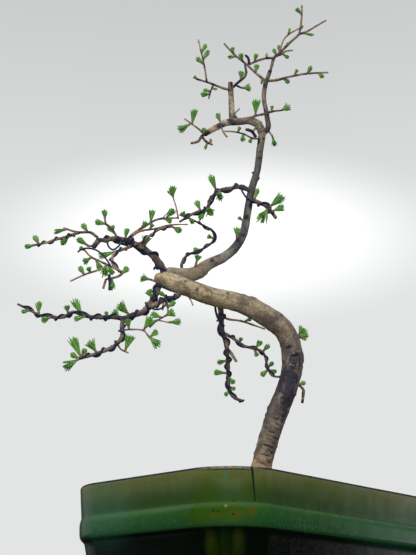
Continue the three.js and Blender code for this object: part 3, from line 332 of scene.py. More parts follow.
grow("spray_left", "twig", [2.5, 1.6], [
    [-139, -61, 236], [-145, -64, 246], [-151, -66, 251], [-152, -67, 257],
], [[0.25, 130, -15, 12, 8], [0.38, 95, 40, 6, 6], [0.73, 160, -15, 13, 8], [0.92, 95, 10, 10, 8]])
grow("spray_left_tip", "bough", [2.9, 1.9], [
    [-175, -73, 239], [-183, -78, 234], [-194, -82, 229], [-205, -85, 224], [-215, -87, 221],
], [[0.25, 235, 15, 13, 8], [0.91, 120, -15, 12, 7], [1, 195, 10, 10, 6]])
grow("spray_hub_upper", "bough", [2.9, 1.6], [
    [-130, -58, 238], [-123, -56, 246], [-113, -53, 254], [-102, -49, 262], [-82, -43, 266],
], [[0.3, 50, 20, 9, 8], [0.5, 85, -10, 16, 9], [0.74, 345, -20, 10, 7], [0.79, 45, 20, 13, 9]])
grow("spray_hub_upper", "bare", [1.4, 1.2], [[-98, -48, 263], [-89, -46, 274]])
grow("spray_hub_upper", "riser", [1.8, 1.5], [
    [-82, -43, 265], [-84, -42, 277], [-88, -40, 291],
], [[0.92, 95, 10, 12, 11], [1, 130, -20, 9, 3]])
grow("spray_hub_lower", "twig", [2.5, 1.4], [
    [-127, -59, 240], [-118, -61, 245], [-104, -62, 247], [-89, -62, 251], [-72, -61, 252],
], [[0.34, 55, 25, 7, 8]])
grow("spray_hub_wired", "bough", [2.7, 1.9], [
    [-124, -57, 232], [-116, -66, 232], [-107, -70, 238], [-98, -72, 243], [-87, -73, 245],
], [[1, 325, 15, 12, 8]])
grow("spray_front", "bough", [2.9, 2.8], [
    [-126, -57, 231], [-135, -66, 224], [-141, -72, 219], [-143, -76, 210], [-140, -80, 202],
    [-133, -83, 195],
], [[0.39, 200, 10, 20, 9]])
grow("spray_front", "brown", [2.4, 1.7], [
    [-132, -84, 195], [-142, -88, 199], [-154, -91, 204], [-161, -93, 207], [-168, -95, 214],
], [
    [0.36, 300, -15, 11, 7], [0.41, 270, 30, 15, 13], [0.65, 295, -20, 12, 8],
    [0.75, 220, 20, 10, 9], [0.97, 150, 0, 6, 6],
])
grow("spray_front", "left", [2.2, 1.5], [
    [-146, -89, 201], [-151, -94, 195], [-165, -99, 188], [-178, -103, 180],
], [[0.5, 115, 40, 6, 7], [0.65, 120, -15, 11, 7]])
grow("spray_front", "low", [2.8, 2], [
    [-129, -82, 200], [-135, -86, 191], [-147, -90, 186],
], [[0.41, 50, -15, 12, 8], [0.77, 275, 15, 14, 7]])
grow("spray_front", "stub", [2.2, 2.2], [[-147, -90, 186], [-149, -91, 177]])
grow("shoot_knuckle", "twig", [2.9, 1.9], [
    [-99, -46, 197], [-108, -52, 199],
], [[0.91, 175, 15, 11, 11]])
grow("spray_low_left", "bough", [6.2, 4.4], [
    [-100, -44, 198], [-102, -46, 188], [-107, -47, 178], [-112, -48, 170], [-117, -49, 166],
    [-126, -50, 163], [-134, -50, 160],
], [[0.34, 120, 20, 11, 11], [0.85, 140, 15, 18, 15]])
grow("spray_low_left", "root", [4.8, 4.2], [
    [-79, -42, 194], [-82, -46, 184], [-94, -48, 180], [-102, -49, 175], [-111, -49, 170],
], [[0.47, 150, 25, 12, 6]])
grow("spray_low_left", "twig", [2.3, 1.5], [
    [-92, -48, 180], [-91, -52, 170], [-91, -54, 164], [-100, -56, 157],
], [
    [0.34, 45, -15, 10, 8], [0.72, 20, 20, 11, 11], [0.84, 155, -15, 13, 9],
    [0.99, 200, -20, 13, 9],
])
grow("spray_low_left", "side", [1.4, 1.2], [
    [-100, -56, 157], [-89, -58, 154],
], [[0.92, 10, -15, 13, 9]])
grow("spray_low_left", "stub", [2.1, 2.1], [[-95, -48, 179], [-96, -50, 169]])
grow("spray_left_arm", "bough", [4.4, 2.1], [
    [-132, -50, 160], [-144, -46, 163], [-159, -42, 164], [-172, -38, 167], [-183, -33, 172],
    [-193, -29, 168], [-207, -24, 170], [-219, -18, 174], [-230, -14, 181], [-241, -11, 187],
], [
    [0.04, 130, -20, 12, 9], [0.15, 100, -25, 7, 6], [0.32, 200, 15, 14, 7],
    [0.36, 120, -10, 20, 11], [0.5, 100, 20, 10, 9], [0.65, 210, 25, 12, 9],
    [0.78, 95, -10, 15, 9], [0.87, 195, 15, 10, 6],
])
grow("spray_down_arm", "bough", [4.4, 2.8], [
    [-133, -50, 161], [-134, -53, 152], [-133, -57, 142], [-138, -61, 132], [-146, -65, 126],
    [-158, -69, 120], [-171, -73, 115],
], [
    [0.75, 125, 10, 15, 14], [0.97, 115, -10, 24, 13], [0.98, 60, 20, 11, 7],
    [0.99, 215, 15, 18, 14], [1, 145, -20, 11, 7],
])
grow("spray_down_arm", "spur", [1.9, 1.4], [
    [-137, -61, 132], [-134, -58, 128], [-127, -56, 125],
], [[0.73, 70, 10, 18, 13]])
grow("spray_down_arm", "twig", [1.7, 1.5], [
    [-133, -54, 148], [-124, -59, 147], [-113, -62, 145], [-107, -65, 137],
], [
    [0.22, 100, 15, 11, 8], [0.67, 55, 20, 16, 12], [0.91, 315, 10, 16, 11],
    [0.98, 45, -20, 12, 8],
])
grow("spray_droop", "bough", [6, 2.4], [
    [-41, -38, 183], [-40, -24, 174], [-39, -14, 159], [-35, -8, 148], [-33, -1, 130],
    [-33, 5, 114], [-29, 10, 99], [-19, 14, 95],
], [
    [0.58, 195, 15, 12, 7], [0.69, 175, -10, 15, 8], [0.72, 310, 15, 11, 7],
    [0.81, 345, -30, 8, 6], [0.84, 235, 25, 9, 6],
])
grow("spray_droop", "stub", [2.9, 2.7], [[-32, -6, 141], [-25, -9, 129]])
grow("spray_droop", "short", [2, 1.9], [[-40, -19, 169], [-44, -23, 166]])
grow("spray_droop", "thin", [2.5, 1.5], [
    [-40, -23, 173], [-34, -14, 171], [-20, -6, 171], [4, 2, 165],
], [[0.57, 20, 20, 9, 6]])
grow("spray_droop_right", "bough", [3.3, 2], [
    [-38, -13, 157], [-29, -6, 154], [-17, 2, 148], [2, 10, 143], [6, 14, 132], [11, 16, 121],
    [21, 17, 120],
], [
    [0.26, 70, 30, 6, 7], [0.46, 295, -25, 9, 7], [0.47, 55, -15, 12, 8], [0.57, 45, 20, 11, 7],
    [0.77, 50, -20, 9, 6], [0.79, 220, -15, 11, 7], [0.8, 340, 20, 9, 6],
])
grow("shoot_elbow", "twig", [2.5, 2], [
    [24, -22, 147], [34, -16, 152], [43, -12, 150],
], [[0.6, 55, 15, 12, 13], [0.66, 20, -15, 11, 9]])
grow("shoot_heel", "twig", [2.5, 2.1], [
    [26, -14, 109], [35, -8, 106], [40, -5, 101], [39, -3, 91],
], [[0.4, 30, -20, 8, 7]])

# Surface roots at the trunk's foot, each [turn in plan, reach, girth].
ROOTS = [[20, 27, 7.4], [95, 24, 6], [170, 30, 7.4], [265, 28, 7]]

# Training wires: gauge, spray and limb that it is wound on, first and last share, and turns.
WIRES = {
    "wire_left": (2.4, "spray_left", "bough", 0.12, 0.9, 3),
    "wire_left_tip": (1.4, "spray_left_tip", "bough", 0.12, 0.94, 2.5),
    "wire_low_left": (2.0, "spray_low_left", "bough", 0.16, 0.92, 3),
    "wire_low_root": (1.6, "spray_low_left", "root", 0.3, 0.8, 1.5),
    "wire_left_arm": (1.8, "spray_left_arm", "bough", 0.08, 0.94, 5),
    "wire_down_arm": (1.8, "spray_down_arm", "bough", 0.1, 0.92, 3.5),
    "wire_droop": (2.0, "spray_droop", "bough", 0.16, 0.94, 3.5),
    "wire_droop_right": (1.5, "spray_droop_right", "bough", 0.08, 0.93, 3.5),
    "wire_middle_left": (2.0, "spray_middle_left", "bough", 0.1, 0.92, 3.5),
    "wire_middle_right": (2.0, "spray_middle_right", "bough", 0.2, 0.9, 1.5),
    "wire_loop": (1.4, "spray_loop", "bough", 0.2, 0.92, 3),
    "wire_hub": (1.5, "spray_hub_wired", "bough", 0.22, 0.92, 2.5),
    "wire_front": (1.6, "spray_front", "bough", 0.12, 0.92, 2),
}

# Wire that lies free of a coil: gauge and path.
LOOSE_WIRES = [
    [1.5, [
        [-173, -98, 210], [-169, -98, 213], [-162, -97, 214], [-155, -96, 212], [-149, -95, 207],
        [-145, -93, 202], [-143, -92, 199],
    ]],
    [1.9, [[-89, -38, 209], [-95, -46, 211], [-100, -47, 213], [-104, -47, 213], [-105, -46, 211]]],
    [2.0, [[-94, -50, 191], [-99, -50, 193], [-103, -49, 194], [-105, -48, 191], [-103, -50, 187]]],
    [1.8, [[-80, -46, 187], [-83, -48, 181], [-87, -49, 179], [-91, -50, 180], [-93, -50, 184]]],
    [1.6, [[-108, -51, 171], [-102, -51, 169], [-97, -52, 170], [-93, -53, 173], [-93, -51, 179]]],
    [1.6, [
        [-149, -66, 232], [-148, -66, 228], [-143, -69, 223], [-138, -68, 227], [-136, -64, 233],
    ]],
    [1.8, [[-17, -7, 316], [-18, -8, 311], [-13, -6, 303], [-8, -5, 300], [-4, -8, 297]]],
    [2.4, [[-144, -91, 190], [-143, -92, 182], [-143, -93, 175]]],
    [2.0, [[-46, -40, 182], [-45, -30, 173], [-42, -26, 166], [-37, -22, 161]]],
    [1.9, [[-22, 11.5, 93.5], [-19, 13, 94.5], [-17.6, 14, 95.8]]],
    [2.4, [[39.6, -4, 100], [39.4, -3.4, 95], [38.6, -3, 89.4]]],
]

# Short limbs that were cut back, and so end in no bud.
BARE_ENDS = ("stub", "short", "root", "bough")

# Twig tips where needles already show.
GREEN_TIPS = (("spray_crown_tip", "top"), ("spray_crown_left", "diagonal"))

# Limbs whose bark has turned almost black.
BLACKENED = (
    ("spray_snag_right", "bough"), ("spray_snag_right", "stub"), ("spray_apex_low", "stub"),
    ("spray_crown_tip", "stub"), ("spray_loop", "bough"),
)

# ---- Curves and noise ----


def held(values):
    """Values held from 0 to 1."""
    return np.clip(values, 0, 1)


def eased(share):
    """A share from 0 to 1 with a soft start and end: 3t^2 - 2t^3."""
    return share * share * (3 - 2 * share)


def distances(points):
    """The distance walked to each point of a line, its steps' lengths summed."""
    return np.concatenate([[0], np.cumsum(np.linalg.norm(np.diff(points, axis=0), axis=1))])


def read_at(places, known, rows):
    """Rows known at some distances, read at other places, straight between two known ones."""
    return np.stack([np.interp(places, known, column) for column in rows.T], -1)


def even_angles(sides):
    """The angles of a full turn's equal parts."""
    return np.arange(sides) / sides * TURN


def on_circle(angle):
    """Points at angles on the unit circle: cosine and sine."""
    return np.stack([np.cos(angle), np.sin(angle)], -1)


def swung(angle, first, second):
    """A direction swung by each angle from first towards second: cosine and sine times the two."""
    return np.cos(angle)[:, None] * first + np.sin(angle)[:, None] * second


SPAN_STEPS = 24


def curve_through(path, stations):
    """A centripetal Catmull-Rom curve through the path, at evenly spaced places along its length.

    Each span between two path points is a cubic whose end slopes come from the neighbouring
    points, with parameter gaps that are the square roots of the distances.
    """
    p = np.array(path, float)
    q = np.vstack([2 * p[0] - p[1], p, 2 * p[-1] - p[-2]])
    gap = np.sqrt(np.linalg.norm(np.diff(q, axis=0), axis=1))[:, None]
    before, here, after = gap[:-2], gap[1:-1], gap[2:]
    a, b, c, d = q[:-3], q[1:-2], q[2:-1], q[3:]
    leave = here * ((b - a) / before - (c - a) / (before + here) + (c - b) / here)
    arrive = here * ((c - b) / here - (d - b) / (here + after) + (d - c) / after)
    t = np.linspace(0, 1, SPAN_STEPS, endpoint=False)[None, :, None]
    b, c, leave, arrive = (each[:, None, :] for each in (b, c, leave, arrive))
    spans = b + leave * t + (3 * (c - b) - 2 * leave - arrive) * t**2
    spans = spans + (2 * (b - c) + leave + arrive) * t**3
    dense = np.vstack([spans.reshape(-1, 3), p[-1]])
    walked = distances(dense)
    return read_at(np.linspace(0, walked[-1], stations + 1), walked, dense), walked[-1]


def curve_length(path):
    """The length of the curve through a path."""
    return curve_through(path, 1)[1]


def evenly(values, share):
    """The value at each share of a list whose entries are evenly spaced."""
    return np.interp(share, np.linspace(0, 1, len(values)), values)


def unit(vectors):
    """Each vector at length 1."""
    return vectors / np.linalg.norm(vectors, axis=-1, keepdims=True)


def frames_along(points):
    """Tangents, normals and binormals, each frame turned from the last as little as possible."""
    tangents = unit(np.gradient(points, axis=0))
    smallest = np.zeros(3)
    least = int(np.argmin(np.abs(tangents[0])[::-1]))
    smallest[2 - least] = 1
    side = unit(np.cross(tangents[0], smallest))
    normals = [np.cross(tangents[0], side)]
    for tangent in tangents[1:]:
        carried = normals[-1] - tangent * np.dot(normals[-1], tangent)
        normals.append(unit(carried))
    normals = np.array(normals)
    return tangents, normals, np.cross(tangents, normals)


def scattered(i, j, k, seed):
    """A fixed pseudo-random number from 0 to 1 for each whole-number cell."""
    mixed = (i * 73856093) ^ (j * 19349663) ^ (k * 83492791) ^ (seed * 374761393)
    mixed = (mixed ^ (mixed >> 13)) & 0xFFFFFFFF
    mixed = (mixed * 1274126177) & 0xFFFFFFFF
    return ((mixed ^ (mixed >> 16)) & 0xFFFF) / 65535.0


def noise(points, seed):
    """Smooth noise from -1 to 1: each cell's corner values, weighed by the eased place in it."""
    cell = np.floor(points).astype(np.int64)
    ease = eased(points - cell)
    total = 0
    for corner in np.ndindex(2, 2, 2):
        weight = np.prod(np.where(np.array(corner) == 1, ease, 1 - ease), axis=-1)
        i, j, k = np.moveaxis(cell + corner, -1, 0)
        total = total + weight * scattered(i, j, k, seed)
    return 2 * total - 1


def rough(points, seed, octaves=3):
    """Noise added to itself at double the pitch and half the strength, octave by octave."""
    total = sum(noise(points * 2**n, seed + n) / 2**n for n in range(octaves))
    return total / (2 - 0.5 ** (octaves - 1))


def ridged(points, seed):
    """Sharp crests, 1 on a crest and 0 far from it: 1 - |noise|, squared."""
    return (1 - np.abs(noise(points, seed))) ** 2


# ---- Surfaces and meshes ----

# A surface is (points, four-cornered faces, three-cornered faces, lay, mark, each face's material).
# lay is where a point lies on its piece straightened out, in mm. mark is three local shades.

# How far apart two limbs, or two wires, lie in the grain of their materials.
LIMB_LAY_STEP = 61.7
WIRE_LAY_STEP = 31.3


def volume_sign(points, quads, tris):
    """The sign of a closed surface's volume, the sum over its triangles of a . (b x c)."""
    every = np.vstack([tris, quads[:, :3], quads[:, [0, 2, 3]]])
    a, b, c = (points[every[:, k]] for k in range(3))
    return np.sign(np.einsum("ij,ij->", a - points[0], np.cross(b - points[0], c - points[0])))


def squares(count, sides):
    """The squares between rings: each joins two neighbours on a ring to those on the next."""
    step = np.arange(sides)
    onward = (step + 1) % sides
    row = np.arange(count - 1)[:, None] * sides
    corners = (row + step, row + onward, row + sides + onward, row + sides + step)
    return np.stack(corners, -1).reshape(-1, 4)


def lofted(rings, lay, mark, material=0):
    """A closed skin over rings (rings, sides, 3): squares between rings and a fan over each end.

    material is one index, or one for each band of squares.
    """
    count, sides = rings.shape[:2]
    step = np.arange(sides)
    onward = (step + 1) % sides
    low, high = count * sides, count * sides + 1
    points, lay, mark = (
        np.vstack([each.reshape(-1, 3), each[0].mean(0), each[-1].mean(0)])
        for each in (rings, lay, mark)
    )
    quads = squares(count, sides)
    last = (count - 1) * sides
    start = np.stack([onward, step, np.full(sides, low)], -1)
    end = np.stack([last + step, last + onward, np.full(sides, high)], -1)
    tris = np.vstack([start, end])
    if volume_sign(points, quads, tris) < 0:
        quads, tris = quads[:, ::-1], tris[:, ::-1]
    bands = np.repeat(np.broadcast_to(material, count - 1), sides)
    kinds = np.concatenate([bands, np.repeat(bands[[0, -1]], sides)])
    return points, quads, tris, lay, mark, kinds


def mesh_piece(name, surfaces, materials, stands_for, place=planted, smooth=True, paint=None):
    """One object from surfaces, put in the part's frame, riding on the root.

    paint, where given, holds three more shades for each point of the first surface's rings.
    """
    points, faces, lays, marks, kinds, begins = [], [], [], [], [], []
    base = 0
    for vertices, quads, tris, lay, mark, kind in surfaces:
        for face in (quads, tris):
            faces.append((face + base).ravel())
            begins.append(np.full(len(face), face.shape[1]))
        kinds.append(np.broadcast_to(kind, len(quads) + len(tris)))
        points.append(vertices)
        lays.append(lay)
        marks.append(mark)
        base += len(vertices)
    sizes = np.concatenate(begins)
    mesh = bpy.data.meshes.new(name)
    mesh.vertices.add(base)
    mesh.vertices.foreach_set("co", place(np.vstack(points)).ravel())
    mesh.loops.add(int(sizes.sum()))
    mesh.loops.foreach_set("vertex_index", np.concatenate(faces).astype(np.int32))
    mesh.polygons.add(len(sizes))
    starts = np.concatenate([[0], np.cumsum(sizes)[:-1]])
    mesh.polygons.foreach_set("loop_start", starts.astype(np.int32))
    mesh.polygons.foreach_set("material_index", np.concatenate(kinds).astype(np.int32))
    mesh.polygons.foreach_set("use_smooth", np.full(len(sizes), smooth))
    mesh.update(calc_edges=True)
    if paint is not None:
        rest = np.zeros((base - paint[..., 0].size, 3))
        paint = [paint.reshape(-1, 3), rest]
    for label, values in (("lay", lays), ("mark", marks), ("paint", paint)):
        if values is None:
            continue
        attribute = mesh.attributes.new(label, "FLOAT_VECTOR", "POINT")
        attribute.data.foreach_set("vector", np.vstack(values).astype(np.float32).ravel())
    for material in materials:
        mesh.materials.append(material)
    piece = bpy.data.objects.new(name, mesh)
    bpy.context.scene.collection.objects.link(piece)
    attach(piece, "root")
    if stands_for:
        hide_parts(*stands_for)


# ---- Wood ----

AWAY = np.array([0.0, 1.0, 0.0])
LIMB_STATIONS = 200
TIP_TURNS = np.radians([20, 40, 58, 74, 86])


def limb_surface(owner, seed, spacing, sides, bumps, shades, material=0, end=0.2):
    """A limb's skin: rings square to its curve, with a rounded tip.

    The radius is half the girth at that share of the way, plus bumps(straight, looks). Over the tip
    the radius falls as a cosine, while the ring moves on by end times the radius times a sine.
    """
    stations = max(8, round(curve_length(owner["path"]) / spacing))
    centre, length = curve_through(owner["path"], stations)
    tangents, normals, binormals = frames_along(centre)
    tip = owner["girth"][-1] / 2
    share = np.linspace(0, 1, stations + 1)
    onward = end * tip * np.sin(TIP_TURNS)
    centre = np.vstack([centre, centre[-1] + np.outer(onward, tangents[-1])])
    tangents, normals, binormals = (
        np.vstack([rows, np.repeat(rows[-1:], len(TIP_TURNS), 0)])
        for rows in (tangents, normals, binormals)
    )
    radius = np.concatenate([evenly(owner["girth"], share) / 2, tip * np.cos(TIP_TURNS)])[:, None]
    along = np.concatenate([share * length, length + onward])[:, None]
    share = np.concatenate([share, np.ones(len(TIP_TURNS))])[:, None]
    x, y = on_circle(even_angles(sides)).T[:, None]
    lay_along = along + LIMB_LAY_STEP * seed
    straight = np.stack(np.broadcast_arrays(radius * x, radius * y, lay_along), -1)
    beside = unit(np.cross(AWAY, tangents) + 1e-9)
    nearest = np.cross(beside, tangents)
    outward = x[..., None] * binormals[:, None] + y[..., None] * normals[:, None]
    rightward = np.einsum("rsk,rk->rs", outward, beside)
    facing = np.einsum("rsk,rk->rs", outward, nearest)
    looks = {
        "share": share, "along": along, "length": length, "radius": radius,
        "rising": outward[..., 2], "round": np.degrees(np.arctan2(rightward, facing)),
    }
    full = radius + bumps(straight, looks) * np.minimum(1, radius / tip)
    rings = centre[:, None] + full[..., None] * outward
    return lofted(rings, straight, shades(straight, looks), material)


def marked(straight, looks, marks):
    """How dark the marks make each place, and how far they raise it, in mm.

    A mark is [share, turn round the limb from the viewer, half length, half width, dark, rise]. Its
    strength eases from 1 inside an ellipse to 0 outside it, and the ellipse's edge is ragged.
    """
    dark, rise = 0.0, 0.0
    ragged = 0.3 * noise(straight / 1.7, 91) + 0.35 * noise(straight / 5, 90)
    for share, around, half_length, half_width, darkness, height in marks:
        up = (looks["along"] - share * looks["length"]) / half_length
        apart = (looks["round"] - around + 180) % 360 - 180
        side = np.radians(apart) * looks["radius"] / half_width
        near = eased(held(1.4 + ragged - np.sqrt(up**2 + side**2)))
        dark = np.maximum(dark, darkness * near)
        rise = rise + height * near
    return dark, rise


def shade_stack(like, *shades):
    """Three shades side by side for each place, a single value standing for all places."""
    return np.stack([np.broadcast_to(each, like.shape[:-1]) for each in shades], -1)


def twig_bumps(girth):
    """Knobs where needles sat, the tops of one noise, plus a second noise, both times the girth."""

    def bumps(straight, looks):
        knobs = np.maximum(0, rough(straight / [2.0, 2.0, 2.6], 5, 2) - 0.1)
        room = held((looks["length"] - looks["along"]) / 3)
        return girth * room * (0.06 * rough(straight / [3, 3, 5], 9, 2) + 0.22 * knobs)

    return bumps


def joints(owner):
    """The distances along a limb at which something grows out of it, with its own foot."""
    centre, length = curve_through(owner["path"], LIMB_STATIONS)
    return [0.0] + [share * length for share, _ in outgrowths(owner, centre)]


def near_joints(straight, looks, places):
    """How close a place is to a joint: a bell curve of the distance, made ragged by noise."""
    ragged = 1.6 * noise(straight / 2.2, 95)
    apart = np.min(np.abs(looks["along"][..., None] - np.array(places)), -1)
    return np.exp(-((apart + ragged) / 2.8) ** 2)


def twig_shades(owner, warmth, darkness):
    """Cloudy bark, darker by noise, by painted shade on its underside, and near each joint by a
    bell curve.
    """
    places = joints(owner)

    def shades(straight, looks):
        patch = rough(straight / [3, 3, 8], 17)
        # Painted shade on the twig's downward-facing side.
        painted_shade_below = 0.22 * held(-looks["rising"])
        dark = darkness + 0.5 * patch + painted_shade_below + 0.62 * near_joints(straight, looks, places)
        return shade_stack(straight, np.clip(dark, 0, 0.9), warmth + 0.35 * patch, 0)

    return shades


def curve_place(owner, share):
    """The middle of a limb at a share, and the limb's direction there."""
    centre, _ = curve_through(owner["path"], LIMB_STATIONS)
    tangents = unit(np.gradient(centre, axis=0))
    at = int(round(share * LIMB_STATIONS))
    return centre[at], tangents[at]


def shoot_direction(shoot):
    """A shoot's direction: its turn in the front view, tipped towards the viewer by its lean."""
    up, towards = math.radians(shoot[1]), math.radians(shoot[2])
    flat = math.cos(towards)
    return np.array([math.cos(up) * flat, -math.sin(towards), math.sin(up) * flat])


def across(direction):
    """Two unit directions square to one direction."""
    helper = np.array([0.0, 0.0, 1.0]) if abs(direction[2]) < 0.9 else np.array([1.0, 0.0, 0.0])
    first = unit(np.cross(direction, helper))
    return first, np.cross(direction, first)


def turned_surface(base, direction, profile, sides, mark, seed, material=0):
    """A small turned body: a profile of [radius, height] carried round a direction."""
    first, second = across(direction)
    radius, height = np.array(profile, float).T
    angle = even_angles(sides)
    ring = swung(angle, first, second)
    rings = base + height[:, None, None] * direction + radius[:, None, None] * ring
    up = np.broadcast_to((height + LIMB_LAY_STEP * seed)[:, None, None], (len(height), sides, 1))
    lay = np.concatenate([radius[:, None, None] * on_circle(angle), up], -1)
    return lofted(rings, lay, np.broadcast_to(mark, lay.shape).astype(float), material)


def spur_surface(base, direction, top, seed):
    """A woody spur: a peg with a ring for each year and a scaly cup round the needles' foot."""
    profile = [[0.95, 0.0]]
    years = max(2, int(top / 1.1))
    for year in range(years):
        low = top * (0.25 + 0.6 * year / years)
        profile += [[1.0, low], [1.22, low + 0.3], [1.02, low + 0.6]]
    profile += [[1.25, top - 0.3], [1.38, top + 0.25], [1.12, top + 0.7], [0.5, top + 0.8]]
    heights = np.maximum.accumulate([height for _, height in profile])
    profile = [[radius, height] for (radius, _), height in zip(profile, heights)]
    return turned_surface(base, direction, profile, 10, [0.35, 0.45, 0], seed)


# ---- Needles ----

NEEDLE_STATIONS = np.array([0.0, 0.3, 0.62, 0.88, 1.0])
NEEDLE_WIDTHS = np.array([0.75, 1.0, 1.0, 0.84, 0.3])
NEEDLE_WIDTH = 1.25
NEEDLE_THICKNESS = 0.5
GOLDEN_TURN = math.pi * (3 - math.sqrt(5))


def tuft_needles(foot, direction, reach, width, tone, draws):
    """One tuft: needles spread from its foot in a sunflower's order, out to reach and width.

    Needle i leans out by the tuft's half angle times the root of (i + 0.5) / count, and turns a
    golden angle on from the last. Its line bends inwards in a slim closed tuft and outwards in a
    wide open one, with the square of the way along.
    """
    opened = held((width - 6) / 5)
    count = int(9 + (2.0 - 0.75 * opened) * width) if width > BUD_WIDTH else 8
    order = np.arange(count)
    out = ((order + 0.5) / count) ** 0.42
    spread = min(math.atan2(width / 2 - 0.3, reach), 1.15)
    lean = spread * out * (1 + 0.1 * draws.normal(size=count))
    turn = order * GOLDEN_TURN + draws.uniform(0, TURN)
    shorter = 1 - (0.26 - 0.2 * opened) * out**2 - (0.06 + 0.12 * opened) * draws.random(count)
    length = reach * shorter / np.cos(np.minimum(lean, 1.0)) ** 0.7
    first, second = across(direction)
    aside = swung(turn, first, second)
    beside = np.cross(np.broadcast_to(direction, aside.shape), aside)
    first_lean, last_lean = (1.4 - 0.55 * opened) * lean, (0.5 + 0.65 * opened) * lean
    start = swung(first_lean, direction, aside)
    finish = swung(last_lean, direction, aside)
    t = NEEDLE_STATIONS[None, :, None]
    swing = 0.05 * draws.normal(size=(count, 1, 1)) * beside[:, None]
    line = t * start[:, None] + t**2 * (0.5 * (finish - start)[:, None] + swing)
    middle = foot + 0.55 * out[:, None, None] * aside[:, None] + length[:, None, None] * line
    half = 0.5 * NEEDLE_WIDTH * (1 + 0.2 * opened) * NEEDLE_WIDTHS[None, :, None]
    thick = half * NEEDLE_THICKNESS
    outward = unit(np.cross(beside, start))[:, None]
    corners = [half * beside[:, None], thick * outward, -half * beside[:, None], -thick * outward]
    points = middle[:, :, None] + np.stack(corners, 2)
    shade = np.broadcast_to(draws.random((count, 1, 1)), points.shape[:3])
    way = np.broadcast_to(NEEDLE_STATIONS[None, :, None], points.shape[:3])
    lay = np.stack([np.full(points.shape[:3], tone), way, shade], -1)
    return points, lay


def needle_surface(tufts):
    """All needles of a spray in one skin: four-sided blades, squared along and at both ends."""
    points = np.concatenate([each for each, _ in tufts])
    lay = np.concatenate([each for _, each in tufts])
    count, rings, sides = points.shape[:3]
    ends = np.array([[3, 2, 1, 0], (rings - 1) * sides + np.arange(sides)])
    one = np.vstack([squares(rings, sides), ends])
    quads = (one[None] + (np.arange(count) * rings * sides)[:, None, None]).reshape(-1, 4)
    flat = points.reshape(-1, 3)
    none = np.zeros((0, 3), int)
    first = quads[: len(one)]
    if volume_sign(flat, first, none) < 0:
        quads = quads[:, ::-1]
    marks = np.zeros((len(flat), 3))
    return flat, quads, none, lay.reshape(-1, 3), marks, 0


# ---- Training wire ----

WIRE_LIFT = 0.2
WIRE_SWELL = 1.15
WIRE_SIDES = 10
COIL_POINTS = 26
COIL_PITCH = 0.9
LOOSE_PITCH = 0.8
DODGE_GAP = 5
SEAT_REACH = 1.5


def outgrowths(owner, centre):
    """The shoots and side limbs of a limb: each one's share of the way and its direction."""
    found = [(shoot[0], shoot_direction(shoot)) for shoot in owner["shoots"]]
    for limbs in LIMBS.values():
        for other in limbs.values():
            if other is owner:
                continue
            base, onward = np.array(other["path"][:2], float)
            gaps = np.linalg.norm(centre - base, axis=1)
            at = int(np.argmin(gaps))
            share = at / LIMB_STATIONS
            if gaps[at] < evenly(owner["girth"], share) / 2 + SEAT_REACH:
                found.append((share, unit(onward - base)))
    return sorted(found, key=lambda each: each[0])


def coil_points(owner, first, last, turns, gauge):
    """A coil round a limb: its angle grows evenly, and drifts to pass shoots on the far side."""
    centre, length = curve_through(owner["path"], LIMB_STATIONS)
    _, normals, binormals = frames_along(centre)
    pitch = (last - first) / turns
    shares, drifts = [], []
    drift, previous = 0.0, first - pitch
    for share, direction in outgrowths(owner, centre):
        if first < share < last and (share - previous) * length > DODGE_GAP:
            at = int(round(share * LIMB_STATIONS))
            angle = math.atan2(direction @ normals[at], direction @ binormals[at])
            plain = (share - first) / pitch * TURN + drift
            drift += (angle + math.pi - plain + math.pi) % TURN - math.pi
            shares.append(share)
            drifts.append(drift)
            previous = share
    points = max(turns * COIL_POINTS, (last - first) * length / COIL_PITCH)
    share = np.linspace(first, last, round(points) + 1)
    turn = (share - first) / pitch * TURN
    if shares:
        turn = turn + np.interp(share, shares, drifts)
    radius = evenly(owner["girth"], share) / 2 + WIRE_LIFT + gauge / 2
    at = share * LIMB_STATIONS
    index = np.arange(LIMB_STATIONS + 1)
    middle, up, side = (read_at(at, index, each) for each in (centre, normals, binormals))
    return middle + radius[:, None] * swung(turn, side, up)


def tube_surface(points, radius, sides, seed):
    """A round bar along points, with its cut ends slightly rounded over."""
    tangents, normals, binormals = frames_along(points)
    ends = ((points[0], -tangents[0]), (points[-1], tangents[-1]))
    low, high = (place + way * radius * 0.3 for place, way in ends)
    centre = np.vstack([low, points, high])
    normals, binormals = (np.vstack([rows[:1], rows, rows[-1:]]) for rows in (normals, binormals))
    size = np.full(len(centre), radius)
    size[[0, -1]] = radius * 0.72
    angle = even_angles(sides)
    ring = swung(angle, binormals[:, None], normals[:, None])
    rings = centre[:, None] + size[:, None, None] * ring
    along = distances(centre) + WIRE_LAY_STEP * seed
    lay = np.concatenate([
        np.broadcast_to(radius * on_circle(angle), rings.shape[:2] + (2,)),
        np.broadcast_to(along[:, None, None], rings.shape[:2] + (1,)),
    ], -1)
    return lofted(rings, lay, np.zeros_like(lay))


# ---- The pot ----

CORNER_STATIONS = 40
COLUMN_PITCH = 2.6
CLOSEST_COLUMNS = 0.12
LAST_PARALLEL_INSET = 45
CENTRE = POT_WIDTH / 2
BELT_TOP = POT_HEIGHT - COLLAR_DEPTH
BELT_BOTTOM = BELT_TOP - BAND_DEPTH
BASE_INSET = NECK_INSET + BODY_TAPER
FLOOR_TOP = FOOT_HEIGHT + FLOOR_THICKNESS


